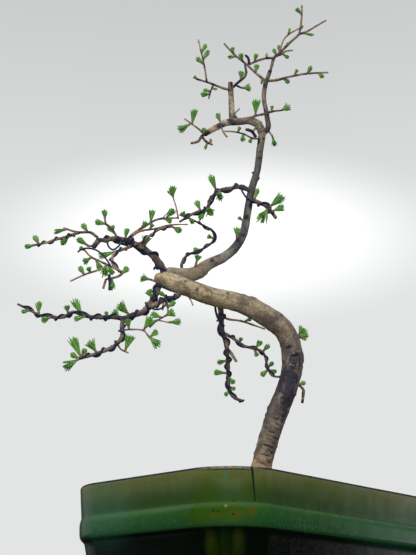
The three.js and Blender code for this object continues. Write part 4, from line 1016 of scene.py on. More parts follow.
def rim_outline(extra=()):
    """The rim in plan: places, outward directions and distance walked along it.

    Each cut corner is an arc that bows out past the cut. Each side is straight from arc to arc, and
    its outward direction swings evenly from one arc's end to the next.
    """
    half_chord = CORNER_CUT / math.sqrt(2)
    half_angle = 2 * math.atan(CORNER_BOW / half_chord)
    bow = half_chord / math.sin(half_angle)
    places, normals = [], []
    for quarter, (sign_x, sign_y) in enumerate(CORNERS):
        middle = math.pi / 4 + quarter * math.pi / 2
        cut = np.array([sign_x * (POT_LENGTH - CORNER_CUT), sign_y * (POT_WIDTH - CORNER_CUT)]) / 2
        towards = np.array([math.cos(middle), math.sin(middle)])
        centre = cut + towards * (CORNER_BOW - bow)
        normal = on_circle(middle + half_angle * np.linspace(-1, 1, CORNER_STATIONS + 1))
        places.append(centre + bow * normal)
        normals.append(normal)
    places, normals = (np.vstack([*rows, rows[0][:1]]) for rows in (places, normals))
    walked = distances(places)
    regular = np.arange(0, walked[-1], COLUMN_PITCH)
    at = np.unique(np.concatenate([regular, walked[:-1], np.asarray(extra, float)]))
    at = at[np.concatenate([[True], np.diff(at) > CLOSEST_COLUMNS])]
    return read_at(at, walked, places), read_at(at, walked, normals), at


def around_pot(profile, outline):
    """Rings of a profile of [inset from the rim, height], carried round the pot's outline.

    A ring is the outline less the inset times its outward directions. Past the last parallel inset,
    it is that ring shrunk evenly towards the middle.
    """
    places, normals, walked = outline
    inset, height = np.array(profile, float).T
    parallel = np.minimum(inset, LAST_PARALLEL_INSET)[:, None, None]
    shrink = np.minimum(1, (CENTRE - inset) / (CENTRE - LAST_PARALLEL_INSET))[:, None, None]
    plan = (places[None] - parallel * normals[None]) * shrink
    upright = np.broadcast_to(height[:, None, None], plan.shape[:2] + (1,))
    along = np.broadcast_to(walked[None, :, None], upright.shape)
    inwards = np.broadcast_to(inset[:, None, None], upright.shape)
    return np.concatenate([plan, upright], -1), np.concatenate([along, upright, inwards], -1)


def smooth_steps(knots, pitch):
    """Points along a smooth curve through [inset, height] knots, about a pitch apart."""
    path = [[inset, height, 0] for inset, height in knots]
    return curve_through(path, max(3, round(curve_length(path) / pitch)))[0][:, :2]


def pot_profile():
    """The pot's wall from the middle of its underside, up the outside and down the inside."""
    body = smooth_steps([
        [BASE_INSET, FOOT_HEIGHT + 2], [BASE_INSET * 0.62, FOOT_HEIGHT + 44],
        [NECK_INSET + 4.6, BELT_BOTTOM - 24], [NECK_INSET + 0.4, BELT_BOTTOM - 3.4],
    ], 4)
    swell = [
        (0.4, BELT_BOTTOM + 1.2), (0.9, BELT_BOTTOM + 5), (1, BELT_BOTTOM + 9),
        (0.92, BELT_TOP - 4), (0.4, BELT_TOP - 0.4),
    ]
    belt = [[COLLAR_LEAN - BAND_PROUD * out, height] for out, height in swell]
    belt = smooth_steps([[NECK_INSET - 0.4, BELT_BOTTOM - 2.2], *belt], 1.1)
    collar = smooth_steps([
        [COLLAR_LEAN - 0.2, BELT_TOP + 1], [COLLAR_LEAN * 0.6, BELT_TOP + 10],
        [0.2, POT_HEIGHT - 4],
    ], 2)
    turn = np.radians(np.linspace(0, 90, 9))
    lip = np.stack([LIP * (1 - np.cos(turn)) + 0.1, POT_HEIGHT - LIP * (1 - np.sin(turn))], -1)
    inner = RIM_THICKNESS
    inside = [
        [inner - 1.6, POT_HEIGHT], [inner - 0.5, POT_HEIGHT - 0.4], [inner, POT_HEIGHT - 1.5],
        [inner + 0.8, POT_HEIGHT - 12], [inner + NECK_INSET, BELT_BOTTOM],
        [inner + BASE_INSET, FLOOR_TOP + 4], [inner + BASE_INSET + 5, FLOOR_TOP],
        [inner + BASE_INSET + 30, FLOOR_TOP], [CENTRE - 12, FLOOR_TOP],
    ]
    underside = [
        [CENTRE - 12, FOOT_HEIGHT], [BASE_INSET + 30, FOOT_HEIGHT], [BASE_INSET + 2.4, FOOT_HEIGHT],
        [BASE_INSET + 0.7, FOOT_HEIGHT + 0.5],
    ]
    return np.vstack([underside, body, belt, collar, lip, inside])


def near_marks(lay, marks):
    """The strongest mark's strength at each place, eased from full in its ellipse to 0 round it."""
    strength = np.zeros(lay.shape[:-1])
    for along, height, half_width, half_height, most in marks:
        apart = np.hypot((lay[..., 0] - along) / half_width, (lay[..., 1] - height) / half_height)
        near = held(1.5 - apart)
        strength = np.maximum(strength, most * near * near * (3 - 2 * near))
    return strength


def pot_surfaces():
    """The pot's skin, dipped by noise, the crack and the pits, its paint, and its corner feet."""
    crack = CRACK_AT + np.arange(-2.1, 5, 0.3)
    corner = np.arange(NEAR_CORNER - 45, NEAR_CORNER + 100, 0.9)
    outline = rim_outline(np.concatenate([crack, corner]))
    rings, lay = around_pot(pot_profile(), outline)
    normals = outline[1][None]
    along, height, inset = np.moveaxis(lay, -1, 0)
    outside = (inset < 8) & (height > FOOT_HEIGHT + 3)
    dip = 0.16 * (1 + rough(rings / [30, 30, 22], 3)) + 0.04 * (1 + rough(rings / [7, 7, 16], 4))
    down = held((POT_HEIGHT - height) / CRACK_LENGTH)
    beside = np.abs(along - CRACK_AT - CRACK_LEAN * down)
    gap = held(1.4 - beside / (0.4 + 0.75 * (1 - down))) * (down < 1)
    pits = near_marks(lay, PITS)
    dip = np.where(outside, dip + CRACK_DEPTH * gap + 0.3 * pits, 0)
    rings[..., :2] -= dip[..., None] * normals
    on_rim = (height > POT_HEIGHT - RIM_LINE) & (inset < RIM_THICKNESS + 2)
    worn = held(1.25 - np.abs(along - NEAR_CORNER + 4) / 24)
    # The worn rim strip, and a painted glint on the belt.
    bare = on_rim * worn + near_marks(lay, PAINTED_GLINT)
    mark = shade_stack(lay, bare, np.maximum(gap * outside, pits), 0)
    paint = np.stack([near_marks(lay, marks) for marks in (YELLOW, BROWN, TEAL)], -1)
    skin = lofted(rings, lay, mark, on_rim[:-1, 0].astype(int))
    return [skin] + [foot_surface(quarter) for quarter in range(4)], paint


def foot_surface(quarter):
    """A corner foot: a rounded section carried along the outline round one corner of the base.

    The section shrinks towards each end as a circle does, by the root of 1 - (1 - distance)^2.
    """
    places, normals, walked = rim_outline()
    base = (places - BASE_INSET * normals) * np.array(CORNERS[quarter])
    index = np.flatnonzero((base > HALF_POT - BASE_INSET - FOOT_LENGTH).all(-1))
    gap = np.flatnonzero(np.diff(index) > 1)
    if len(gap):
        index = np.roll(index, -(gap[0] + 1))
    plan, outward = places[index], normals[index]
    ends = np.minimum(np.arange(len(index)), np.arange(len(index))[::-1]) * COLUMN_PITCH
    size = np.sqrt(np.clip(1 - (1 - np.minimum(ends / FOOT_ROUND, 1)) ** 2, 0.05, 1))
    section = np.array([
        [0.0, 0.94], [0.06, 0.4], [0.16, 0.08], [0.3, 0.0], [0.75, 0.0], [0.9, 0.08],
        [0.98, 0.4], [1.0, 0.94],
    ])
    inset = BASE_INSET + FOOT_INSET + section[:, 0] * FOOT_THICKNESS
    middle = BASE_INSET + FOOT_INSET + FOOT_THICKNESS / 2
    inset = middle + (inset - middle) * size[:, None]
    height = np.broadcast_to(section[:, 1] * (FOOT_HEIGHT + 1), inset.shape)
    ring = plan[:, None] - inset[..., None] * outward[:, None]
    rings = np.concatenate([ring, height[..., None]], -1)
    lay = np.stack(np.broadcast_arrays(walked[index][:, None], height, inset), -1)
    return lofted(rings, lay, np.zeros_like(lay))


# ---- Soil, grit and moss ----

SOIL_EDGE_INSET = RIM_THICKNESS + 1.7
SOIL_PITCH = 1.9
TRUNK_CLEARANCE = 15
LEAF_INSET = 34
GRAIN_COUNT = 3600
LEAF_COUNT = 6500


def soil_height(inset):
    """The soil's height over its inset from the rim: a low bank at the wall and a gentle mound."""
    knots = [SOIL_EDGE_INSET, SOIL_EDGE_INSET + 8, 45, 78, CENTRE]
    rises = [SOIL_EDGE, SOIL_EDGE + 3, SOIL_CROWN * 0.3, SOIL_CROWN * 0.8, SOIL_CROWN]
    return POT_HEIGHT + np.interp(inset, knots, rises)


def rim_hush(inset):
    """How freely the soil may rise: flat beside the rim, and easing to 1 further in."""
    return np.clip((inset - 14) / 34, 0.1, 1)


def level_spot(x, y):
    """A place on the soil as a point at height 0, for the noises."""
    return np.stack([x, y, np.zeros_like(x)], -1)


def moss_cover(x, y):
    """How mossy the soil is, from 0 to 1: broad ragged patches that thin out towards the rim."""
    spot = level_spot(x, y)
    inwards = np.minimum(np.minimum(HALF_POT[0] - np.abs(x), HALF_POT[1] - np.abs(y)),
                         (HALF_POT.sum() - CORNER_CUT / 2 - np.abs(x) - np.abs(y)) * 0.7)
    room = held((inwards - 30 + 9 * rough(spot / 8, 75)) / 9)
    return room * held(rough(spot / 42, 71) * 3.2 - 0.1)


def soil_lumps(spot):
    """The soil's broad lumps, in mm, by noise."""
    return 0.9 * rough(spot / 9, 72)


def moss_swell(spot, moss):
    """How far moss raises the soil, in mm: its cover times a thickness that varies by noise."""
    return moss * (1.6 + 1.2 * rough(spot / 7, 74))


def soil_surface():
    """The soil as rings inside the pot: down its wall to the floor, and over its crowned top.

    The top's rise is two noises and the moss's swell, times a factor that is small beside the rim
    and falls again towards the middle.
    """
    outline = rim_outline()
    low = [
        [CENTRE - 8, FLOOR_TOP + 0.3], [RIM_THICKNESS + BASE_INSET + 6, FLOOR_TOP + 0.3],
        [RIM_THICKNESS + BASE_INSET + 1, FLOOR_TOP + 6],
        [RIM_THICKNESS + NECK_INSET + 1, BELT_BOTTOM],
        [SOIL_EDGE_INSET, POT_HEIGHT + SOIL_EDGE - 2],
    ]
    steps = np.arange(SOIL_EDGE_INSET, CENTRE - 3, SOIL_PITCH)
    steps = np.concatenate([steps, [CENTRE - 2, CENTRE - 0.8]])
    top = np.stack([steps, soil_height(steps)], -1)
    rings, lay = around_pot(np.vstack([low, top]), outline)
    x, y = rings[len(low):, :, 0], rings[len(low):, :, 1]
    moss = moss_cover(x, y)
    spot = level_spot(x, y)
    lumps = soil_lumps(spot) + 0.5 * rough(spot / 2.6, 73, 2)
    hush = rim_hush(steps)[:, None] * np.linspace(1, 0.2, len(steps))[:, None] ** 0.3
    rings[len(low):, :, 2] += np.clip((lumps + moss_swell(spot, moss)) * hush, -2.5, 3.4)
    mark = np.zeros_like(lay)
    mark[len(low):, :, 0] = moss
    return lofted(rings, lay, mark)


def spots_on_soil(count, draws, keep):
    """Random places on the soil where keep(moss, chance) says so, with the soil's height there."""
    half = HALF_POT - SOIL_EDGE_INSET
    spots = draws.uniform(-1, 1, size=(count * 3, 2)) * half
    cut = np.abs(spots[:, 0]) + np.abs(spots[:, 1]) < half.sum() - CORNER_CUT + 4
    clear = np.linalg.norm(spots - FOOT_SPOT, axis=1) > TRUNK_CLEARANCE
    moss = moss_cover(*spots.T)
    spots = spots[cut & clear & keep(moss, draws.random(len(spots)))][:count]
    inset = (half - np.abs(spots)).min(1) + SOIL_EDGE_INSET
    x, y = spots.T
    spot = level_spot(x, y)
    lumps = soil_lumps(spot) + moss_swell(spot, moss_cover(x, y))
    return np.stack([x, y, soil_height(inset) + rim_hush(inset) * lumps], -1)


def grit_surface(count, draws):
    """Grains of fired clay: twelve-cornered lumps, each turned, stretched and sunk at random."""
    golden = (1 + math.sqrt(5)) / 2
    signs = [(a, b * golden) for a in (-1, 1) for b in (-1, 1)]
    body = np.array([(0, a, b) for a, b in signs] + [(a, b, 0) for a, b in signs]
                    + [(b, 0, a) for a, b in signs], float) / math.hypot(1, golden)
    apart = np.linalg.norm(body[:, None] - body[None], axis=-1)
    near = (apart > 0.1) & (apart < 1.2)
    tris = np.array([
        (i, j, k) for i in range(12) for j in range(i + 1, 12) for k in range(j + 1, 12)
        if near[i, j] and near[j, k] and near[i, k]
    ])
    a, b, c = (body[tris[:, k]] for k in range(3))
    inward = np.einsum("ij,ij->i", a, np.cross(b - a, c - a)) < 0
    tris[inward] = tris[inward][:, ::-1]
    spots = spots_on_soil(count, draws, lambda moss, chance: chance > moss * 1.6)
    count = len(spots)
    size = draws.uniform(0.9, 2.1, size=(count, 1, 1))
    size = size * draws.uniform(0.75, 1.25, size=(count, 1, 3))
    turn, _ = np.linalg.qr(draws.normal(size=(count, 3, 3)))
    jitter = body[None] * (1 + 0.16 * draws.normal(size=(count, 12, 1)))
    grains = np.einsum("nij,nkj->nki", turn, jitter * size)
    mirrored = np.linalg.det(turn) < 0
    grains[mirrored] *= [-1, 1, 1]
    points = grains + spots[:, None] + [0, 0, 0.35]
    faces = (tris[None] + (np.arange(count) * 12)[:, None, None]).reshape(-1, 3)
    tone = np.broadcast_to(draws.random((count, 1, 1)), points.shape)
    lay = points.reshape(-1, 3)
    return lay, np.zeros((0, 4), int), faces, lay, tone.reshape(-1, 3), 0


def moss_surface(count, draws):
    """Moss: short three-sided leaves out of the mossy patches, each leaning its own way."""
    spots = spots_on_soil(count, draws, lambda moss, chance: chance < moss - 0.15)
    inset = (HALF_POT - np.abs(spots[:, :2])).min(1)
    spots = spots[inset > LEAF_INSET]
    count = len(spots)
    lean = draws.normal(size=(count, 3)) * [0.45, 0.45, 0] + [0, 0, 1]
    tall = draws.uniform(1.6, 3.6, size=(count, 1))
    angle = draws.uniform(0, TURN, size=(count, 1)) + np.arange(3) * TURN / 3
    ring = level_spot(np.cos(angle), np.sin(angle)) * 0.42
    feet = spots[:, None] + ring - [0, 0, 0.5]
    belly = spots[:, None] + ring * 1.25 + (unit(lean) * tall * 0.5)[:, None]
    tips = (spots + unit(lean) * tall)[:, None]
    points = np.concatenate([feet, belly, tips], 1)
    tris = [[0, 2, 1]] + [[3 + j, 3 + (j + 1) % 3, 6] for j in range(3)]
    quads = [[j, (j + 1) % 3, 3 + (j + 1) % 3, 3 + j] for j in range(3)]
    shift = (np.arange(count) * 7)[:, None, None]
    tris = (np.array(tris)[None] + shift).reshape(-1, 3)
    quads = (np.array(quads)[None] + shift).reshape(-1, 4)
    way = np.array([0, 0, 0, 0.5, 0.5, 0.5, 1.0])[None, :, None]
    way = np.broadcast_to(way, points.shape[:2] + (1,))
    tone = np.broadcast_to(draws.random((count, 1, 1)), way.shape)
    lay = np.concatenate([tone, way, tone], -1).reshape(-1, 3)
    return points.reshape(-1, 3), quads, tris, lay, np.zeros_like(lay), 0


# ---- Materials ----


def tone(red, green, blue):
    """A colour given as 0 to 255 screen values, as the linear colour that a shader takes."""
    values = np.array([red, green, blue]) / 255
    linear = np.where(values <= 0.04045, values / 12.92, ((values + 0.055) / 1.055) ** 2.4)
    return (*linear, 1.0)


GLAZE_TOP_COLLAR = tone(86, 88, 52)
GLAZE_LOW_COLLAR = tone(35, 56, 24)
# The belt's green, lighter on its upper half and darker on its lower as painted light and shade.
GLAZE_LIT_TOP_BELT = tone(31, 66, 22)
GLAZE_SHADED_LOW_BELT = tone(23, 56, 25)
# The body's dark green glaze, darkened to near black as painted shade of the recessed lower wall.
GLAZE_BODY_AND_SHADE = tone(2, 6, 2)


def feed(tree, made, inputs):
    """Sets a node's inputs, by name or number, to a value or to a link from another node."""
    for key, value in inputs.items():
        if isinstance(value, bpy.types.NodeSocket):
            tree.links.new(value, made.inputs[key])
        else:
            made.inputs[key].default_value = value
    return made


def add(tree, kind, inputs=None, **settings):
    """A node with its settings and inputs."""
    made = tree.nodes.new(kind)
    for key, value in settings.items():
        setattr(made, key, value)
    return feed(tree, made, inputs or {})


def maths(tree, operation, *values, clamp=False):
    """The value of one sum, product or other operation."""
    inputs = dict(enumerate(values))
    return add(tree, "ShaderNodeMath", inputs, operation=operation, use_clamp=clamp).outputs[0]


def times(tree, first, second, clamp=False):
    """The product of two values, held from 0 to 1 where clamp says so."""
    return maths(tree, "MULTIPLY", first, second, clamp=clamp)


def blend(tree, share, low, high, kind="MIX"):
    """A colour between low and high, or high laid over low in another way."""
    inputs = {0: share, 6: low, 7: high}
    made = add(tree, "ShaderNodeMix", inputs, data_type="RGBA", blend_type=kind, clamp_factor=True)
    return made.outputs[2]


def between(tree, value, low, high, start=0.0, end=1.0):
    """A value's place between low and high, as a smooth step from start to end."""
    inputs = {0: value, 1: low, 2: high, 3: start, 4: end}
    return add(tree, "ShaderNodeMapRange", inputs, interpolation_type="SMOOTHSTEP").outputs[0]


def vector_maths(tree, operation, *vectors):
    """The outputs of an operation on vectors: a vector first, or one called Value."""
    return add(tree, "ShaderNodeVectorMath", dict(enumerate(vectors)), operation=operation).outputs


def share_along(tree, vector, direction):
    """How far a vector reaches along a direction: their dot product."""
    return vector_maths(tree, "DOT_PRODUCT", vector, tuple(direction))["Value"]


def cloudy(tree, vector, scale, detail=3.0, roughness=0.55):
    """Cloudy noise over a vector that is first stretched by scale."""
    stretched = vector_maths(tree, "MULTIPLY", vector, scale)[0]
    inputs = {"Vector": stretched, "Scale": 1.0, "Detail": detail, "Roughness": roughness}
    return add(tree, "ShaderNodeTexNoise", inputs).outputs[0]


def attribute(tree, name):
    """A vector that the mesh stores at each point."""
    made = add(tree, "ShaderNodeAttribute", attribute_name=name, attribute_type="GEOMETRY")
    return made.outputs["Vector"]


def parts_of(tree, vector):
    """A vector's three parts."""
    return add(tree, "ShaderNodeSeparateXYZ", {0: vector}).outputs


def stored_parts(tree, name):
    """The three parts of a vector that the mesh stores."""
    return parts_of(tree, attribute(tree, name))


def new_group(name, takes, gives):
    """A shader group with named inputs and outputs: name to socket kind and default."""
    group = bpy.data.node_groups.new(name, "ShaderNodeTree")
    for label, (kind, value) in takes.items():
        socket = group.interface.new_socket(label, in_out="INPUT", socket_type=kind)
        if value is not None:
            socket.default_value = value
    for label, kind in gives.items():
        group.interface.new_socket(label, in_out="OUTPUT", socket_type=kind)
    ends = group.nodes.new("NodeGroupInput"), group.nodes.new("NodeGroupOutput")
    return group, ends[0].outputs, ends[1].inputs


def grain_group():
    """Weathered grain: cloudy patches, streaks along z and fine specks: a colour and a height."""
    takes = {
        "Place": ("NodeSocketVector", None),
        "Patch": ("NodeSocketVector", (0.1, 0.1, 0.06)),
        "Streak": ("NodeSocketVector", (0.9, 0.9, 0.12)),
        "Dark": ("NodeSocketColor", (0, 0, 0, 1)),
        "Light": ("NodeSocketColor", (1, 1, 1, 1)),
        "Streak strength": ("NodeSocketFloat", 0.5),
    }
    gives = {"Colour": "NodeSocketColor", "Height": "NodeSocketFloat"}
    group, takes, gives = new_group("Grain", takes, gives)
    patch = cloudy(group, takes["Place"], takes["Patch"], 4.0)
    streak = cloudy(group, takes["Place"], takes["Streak"], 3.0, 0.6)
    speck = cloudy(group, takes["Place"], (0.62, 0.62, 0.5), 5.0, 0.7)
    colour = blend(group, between(group, patch, 0.36, 0.64), takes["Dark"], takes["Light"])
    line = times(group, between(group, streak, 0.46, 0.3), takes["Streak strength"])
    colour = blend(group, line, colour, takes["Dark"])
    shade = between(group, speck, 0.32, 0.68, 0.58, 1.3)
    bright = add(group, "ShaderNodeCombineColor", {0: shade, 1: shade, 2: shade}).outputs[0]
    colour = blend(group, 1.0, colour, bright, "MULTIPLY")
    group.links.new(colour, gives["Colour"])
    height = maths(group, "MULTIPLY_ADD", streak, 0.7, speck)
    group.links.new(maths(group, "MULTIPLY_ADD", patch, 0.5, height), gives["Height"])
    return group


GRAIN = grain_group()


def grained(tree, inputs):
    """The grain group's colour and height, with its inputs linked or set by name."""
    return add(tree, "ShaderNodeGroup", inputs, node_tree=GRAIN).outputs


def bumped(tree, height, strength, distance):
    """A normal that follows a height, over a distance in mm."""
    inputs = {"Height": height, "Strength": strength, "Distance": distance * MM}
    return add(tree, "ShaderNodeBump", inputs).outputs[0]


def start_material(name):
    """A new material with its tree and its main shader."""
    material = bpy.data.materials.new(name)
    material.use_nodes = True
    tree = material.node_tree
    return material, tree, tree.nodes["Principled BSDF"]


def finish_material(tree, shader, colour, roughness, normal=None):
    """Gives the main shader its colour, its roughness and, if there is one, its normal."""
    feed(tree, shader, {"Base Color": colour, "Roughness": roughness})
    if normal is not None:
        tree.links.new(normal, shader.inputs["Normal"])


def bark_material(name, dark, light, warm, stain_and_shade, depth):
    """Bark from its straightened place: grain, warm new wood, grey stains with painted shade,
    near-black slits.

    mark holds how dark each place is by stains and painted shade, how warm and how red.
    """
    dark, light, warm, stain_and_shade = (tone(*colour) for colour in (dark, light, warm, stain_and_shade))
    material, tree, shader = start_material(name)
    place = attribute(tree, "lay")
    mark = stored_parts(tree, "mark")
    colour, height = grained(tree, {
        "Place": place, "Dark": dark, "Light": light, "Streak strength": 0.45,
    })
    cross = cloudy(tree, place, (0.1, 0.1, 0.9), 4.0, 0.65)
    slit = times(tree, between(tree, cross, 0.46, 0.32), 0.5)
    colour = blend(tree, slit, colour, dark)
    # mark[0] carries stains and painted shade alike, both shown in the stain colour.
    for part, gain, over in ((1, 0.85, warm), (2, 1.0, tone(104, 76, 66)), (0, 1.25, stain_and_shade)):
        colour = blend(tree, times(tree, mark[part], gain, clamp=True), colour, over)
    colour = blend(tree, between(tree, mark[0], 0.72, 1.0), colour, tone(28, 27, 34))
    height = maths(tree, "MULTIPLY_ADD", cross, 0.8, height)
    rough_value = between(tree, height, 0.6, 1.6, 0.95, 0.72)
    finish_material(tree, shader, colour, rough_value, bumped(tree, height, 0.9, depth))
    shader.inputs["Specular IOR Level"].default_value = 0.3
    return material


def needle_material():
    """Needles: fresh green with a yellow-green foot and darker ones among them, each its own shade.

    lay holds the tuft's own shade, the way along the needle and the needle's own shade.
    """
    material, tree, shader = start_material("Larch needles")
    parts = stored_parts(tree, "lay")
    fresh = blend(tree, parts[0], tone(58, 101, 50), tone(106, 148, 62))
    own = blend(tree, between(tree, parts[2], 0.15, 0.9), tone(58, 102, 52), tone(102, 147, 66))
    colour = blend(tree, 0.55, fresh, own)
    foot = between(tree, parts[1], 0.0, 0.35, 0.6, 0.0)
    colour = blend(tree, foot, colour, tone(108, 140, 60))
    finish_material(tree, shader, colour, 0.5)
    shader.inputs["Specular IOR Level"].default_value = 0.25
    shader.inputs["Subsurface Weight"].default_value = 0.3
    shader.inputs["Subsurface Radius"].default_value = (0.3, 0.8, 0.1)
    shader.inputs["Subsurface Scale"].default_value = 0.001
    return material


def bud_material():
    """End buds: overlapping brown scales, paler by a share that the mesh gives."""
    material, tree, shader = start_material("Bud scales")
    place = attribute(tree, "lay")
    mark = stored_parts(tree, "mark")
    cloud = cloudy(tree, place, (0.8, 0.8, 0.8), 3.0)
    colour = blend(tree, between(tree, cloud, 0.3, 0.7), tone(98, 72, 50), tone(158, 124, 86))
    colour = blend(tree, mark[0], colour, tone(188, 158, 118))
    finish_material(tree, shader, colour, 0.6, bumped(tree, cloud, 0.5, 0.2))
    return material


def wire_material():
    """Anodised aluminium: near-black with a blue cast, scuffed a little along its length."""
    material, tree, shader = start_material("Dark anodised wire")
    place = attribute(tree, "lay")
    scuff = cloudy(tree, place, (1.2, 1.2, 0.3), 4.0)
    colour = blend(tree, between(tree, scuff, 0.5, 0.75), tone(24, 34, 54), tone(48, 64, 92))
    finish_material(tree, shader, colour, between(tree, scuff, 0.3, 0.7, 0.34, 0.55),
                    bumped(tree, scuff, 0.25, 0.1))
    shader.inputs["Metallic"].default_value = 0.3
    return material


def glaze_material():
    """Green glaze over a brown body: olive collar, belt green with painted light on top, dark below
    with painted shade.

    lay holds the distance round the outline, the height and the inset, in mm. mark holds the worn
    places and a painted glint, and the pits and crack. paint holds where the glaze is thin and
    yellow, where the body's brown shows, and where the glaze is bluer.
    """
    material, tree, shader = start_material("Green glaze")
    place = attribute(tree, "lay")
    height = parts_of(tree, place)[1]
    mark = stored_parts(tree, "mark")
    paint = stored_parts(tree, "paint")
    flow = cloudy(tree, place, (0.035, 0.02, 0.0), 3.0)
    drip = cloudy(tree, place, (0.12, 0.02, 0.0), 2.0, 0.5)
    fine = cloudy(tree, place, (0.5, 0.4, 0.4), 3.0, 0.65)
    wave = maths(tree, "MULTIPLY_ADD", flow, 6.0, height)
    up = between(tree, wave, BELT_TOP + 8, POT_HEIGHT + 5)
    collar = blend(tree, up, GLAZE_LOW_COLLAR, GLAZE_TOP_COLLAR)
    deep = times(tree, between(tree, drip, 0.56, 0.36), 0.15)
    collar = blend(tree, deep, collar, tone(34, 44, 20))
    low = maths(tree, "MULTIPLY_ADD", fine, 5.0, height)
    up = between(tree, low, BELT_BOTTOM + 7, BELT_TOP + 1)
    # The belt runs from its darker foot to its lighter top: painted light on the upward-facing
    # half.
    belt = blend(tree, up, GLAZE_SHADED_LOW_BELT, GLAZE_LIT_TOP_BELT)
    pale = times(tree, between(tree, fine, 0.5, 0.7), 0.18)
    belt = blend(tree, pale, belt, tone(58, 100, 58))
    colour = blend(tree, between(tree, height, BELT_TOP - 0.8, BELT_TOP + 1.4), belt, collar)
    # Below the belt: near black, painted shade of the cove and the inward-sloping body.
    painted_shade_below = between(tree, height, BELT_BOTTOM + 0.6, BELT_BOTTOM - 1.0)
    colour = blend(tree, painted_shade_below, colour, GLAZE_BODY_AND_SHADE)
    shift = between(tree, drip, 0.3, 0.62, 0.55, 1.25)
    thin = times(tree, paint[0], shift, clamp=True)
    colour = blend(tree, thin, colour, tone(37, 57, 2))
    bluer = times(tree, paint[2], between(tree, fine, 0.35, 0.6, 0.5, 1.0), clamp=True)
    colour = blend(tree, bluer, colour, tone(34, 82, 62))
    bare = times(tree, paint[1], between(tree, fine, 0.35, 0.55, 0.35, 1.0), clamp=True)
    colour = blend(tree, bare, colour, tone(66, 57, 9))
    # mark[0]: the worn places and the painted glint, in pale grey-green.
    colour = blend(tree, mark[0], colour, tone(112, 122, 90))
    colour = blend(tree, mark[1], colour, tone(12, 11, 18))
    finish_material(tree, shader, colour, between(tree, fine, 0.3, 0.8, 0.1, 0.22),
                    bumped(tree, flow, 0.1, 0.3))
    return material


def rim_material():
    """The rim's unglazed dark edge, worn back to brown-grey clay along the near corner."""
    material, tree, shader = start_material("Bare rim")
    mark = stored_parts(tree, "mark")
    fine = cloudy(tree, attribute(tree, "lay"), (0.5, 0.8, 0.8), 3.0, 0.6)
    colour = blend(tree, between(tree, fine, 0.3, 0.7), tone(26, 27, 33), tone(46, 46, 50))
    worn = times(tree, mark[0], between(tree, fine, 0.36, 0.46), clamp=True)
    colour = blend(tree, worn, colour, tone(108, 97, 84))
    colour = blend(tree, mark[1], colour, tone(12, 11, 18))
    finish_material(tree, shader, colour, 0.95, bumped(tree, fine, 0.3, 0.2))
    shader.inputs["Specular IOR Level"].default_value = 0.05
    return material


def soil_material():
    """Dark soil among paler grains, greener where mark says that moss grows."""
    material, tree, shader = start_material("Bonsai soil")
    mark = stored_parts(tree, "mark")
    place = attribute(tree, "lay")
    colour, height = grained(tree, {
        "Place": place, "Patch": (0.3, 0.3, 0.3), "Streak": (0.8, 0.8, 0.8),
        "Dark": tone(44, 34, 26), "Light": tone(104, 84, 60), "Streak strength": 0.4,
    })
    colour = blend(tree, mark[0], colour, tone(58, 76, 30))
    finish_material(tree, shader, colour, 0.95, bumped(tree, height, 0.8, 0.6))
    return material


def grit_material():
    """Fired clay, with each grain a little darker or paler."""
    material, tree, shader = start_material("Clay grains")
    mark = stored_parts(tree, "mark")
    place = attribute(tree, "lay")
    colour, height = grained(tree, {
        "Place": place, "Patch": (0.5, 0.5, 0.5), "Streak": (1.2, 1.2, 1.2),
        "Dark": tone(74, 58, 42), "Light": tone(126, 102, 74), "Streak strength": 0.3,
    })
    colour = blend(tree, times(tree, mark[0], 0.5), colour, tone(146, 128, 104))
    finish_material(tree, shader, colour, 0.92, bumped(tree, height, 0.6, 0.3))
    return material


def moss_material():
    """Moss leaves, dark at their feet. lay holds each leaf's own shade and the way along it."""
    material, tree, shader = start_material("Moss")
    parts = stored_parts(tree, "lay")
    leaf = blend(tree, parts[0], tone(58, 84, 28), tone(118, 138, 50))
    colour = blend(tree, between(tree, parts[1], 0.0, 0.8), tone(44, 54, 24), leaf)
    finish_material(tree, shader, colour, 0.8)
    return material


def mesh_material():
    """The drain screens' black plastic, faintly ribbed from its mould."""
    material, tree, shader = start_material("Screen plastic")
    place = add(tree, "ShaderNodeTexCoord").outputs["Object"]
    rib = cloudy(tree, place, (900.0, 900.0, 900.0), 2.0)
    colour = blend(tree, rib, tone(22, 23, 22), tone(40, 42, 40))
    finish_material(tree, shader, colour, 0.6, bumped(tree, rib, 0.3, 0.1))
    return material


# ---- The stage, the lights and the camera ----

CAMERA_PLACE = planted([-52.7, -1082.6, -150.0])
CAMERA_TILT = math.radians(18.8)
LENS = 73.62
SENSOR_WIDTH = 36
STAGE_RADIUS = 6.0
STAGE_SIDES = 96
COVE_RADIUS = 1.5
DOME_RISE = 5
FLOOR_RADIUS = 2.2
GLOW_ACROSS, GLOW_UP = 1.36, 0.52
GLOW_ASIDE, GLOW_RISE = 0.010, 0.037
GLOW_WALL = 0.93
SKY_TOP = 1.5
SKY_BACK = 1.05
TREE_MIDDLE = planted([-40, -20, 200])

# Lamps: place in the front view's layout, size in metres, power and colour.
LAMPS = {
    "Key": ([-1100, -900, 1500], 1.0, 28, (1.0, 0.985, 0.95)),
    "Fill": ([200, -1700, -80], 1.6, 38, (0.97, 0.985, 1.0)),
    "Rim": ([-300, 1500, 900], 1.4, 26, (0.96, 0.98, 1.0)),
}


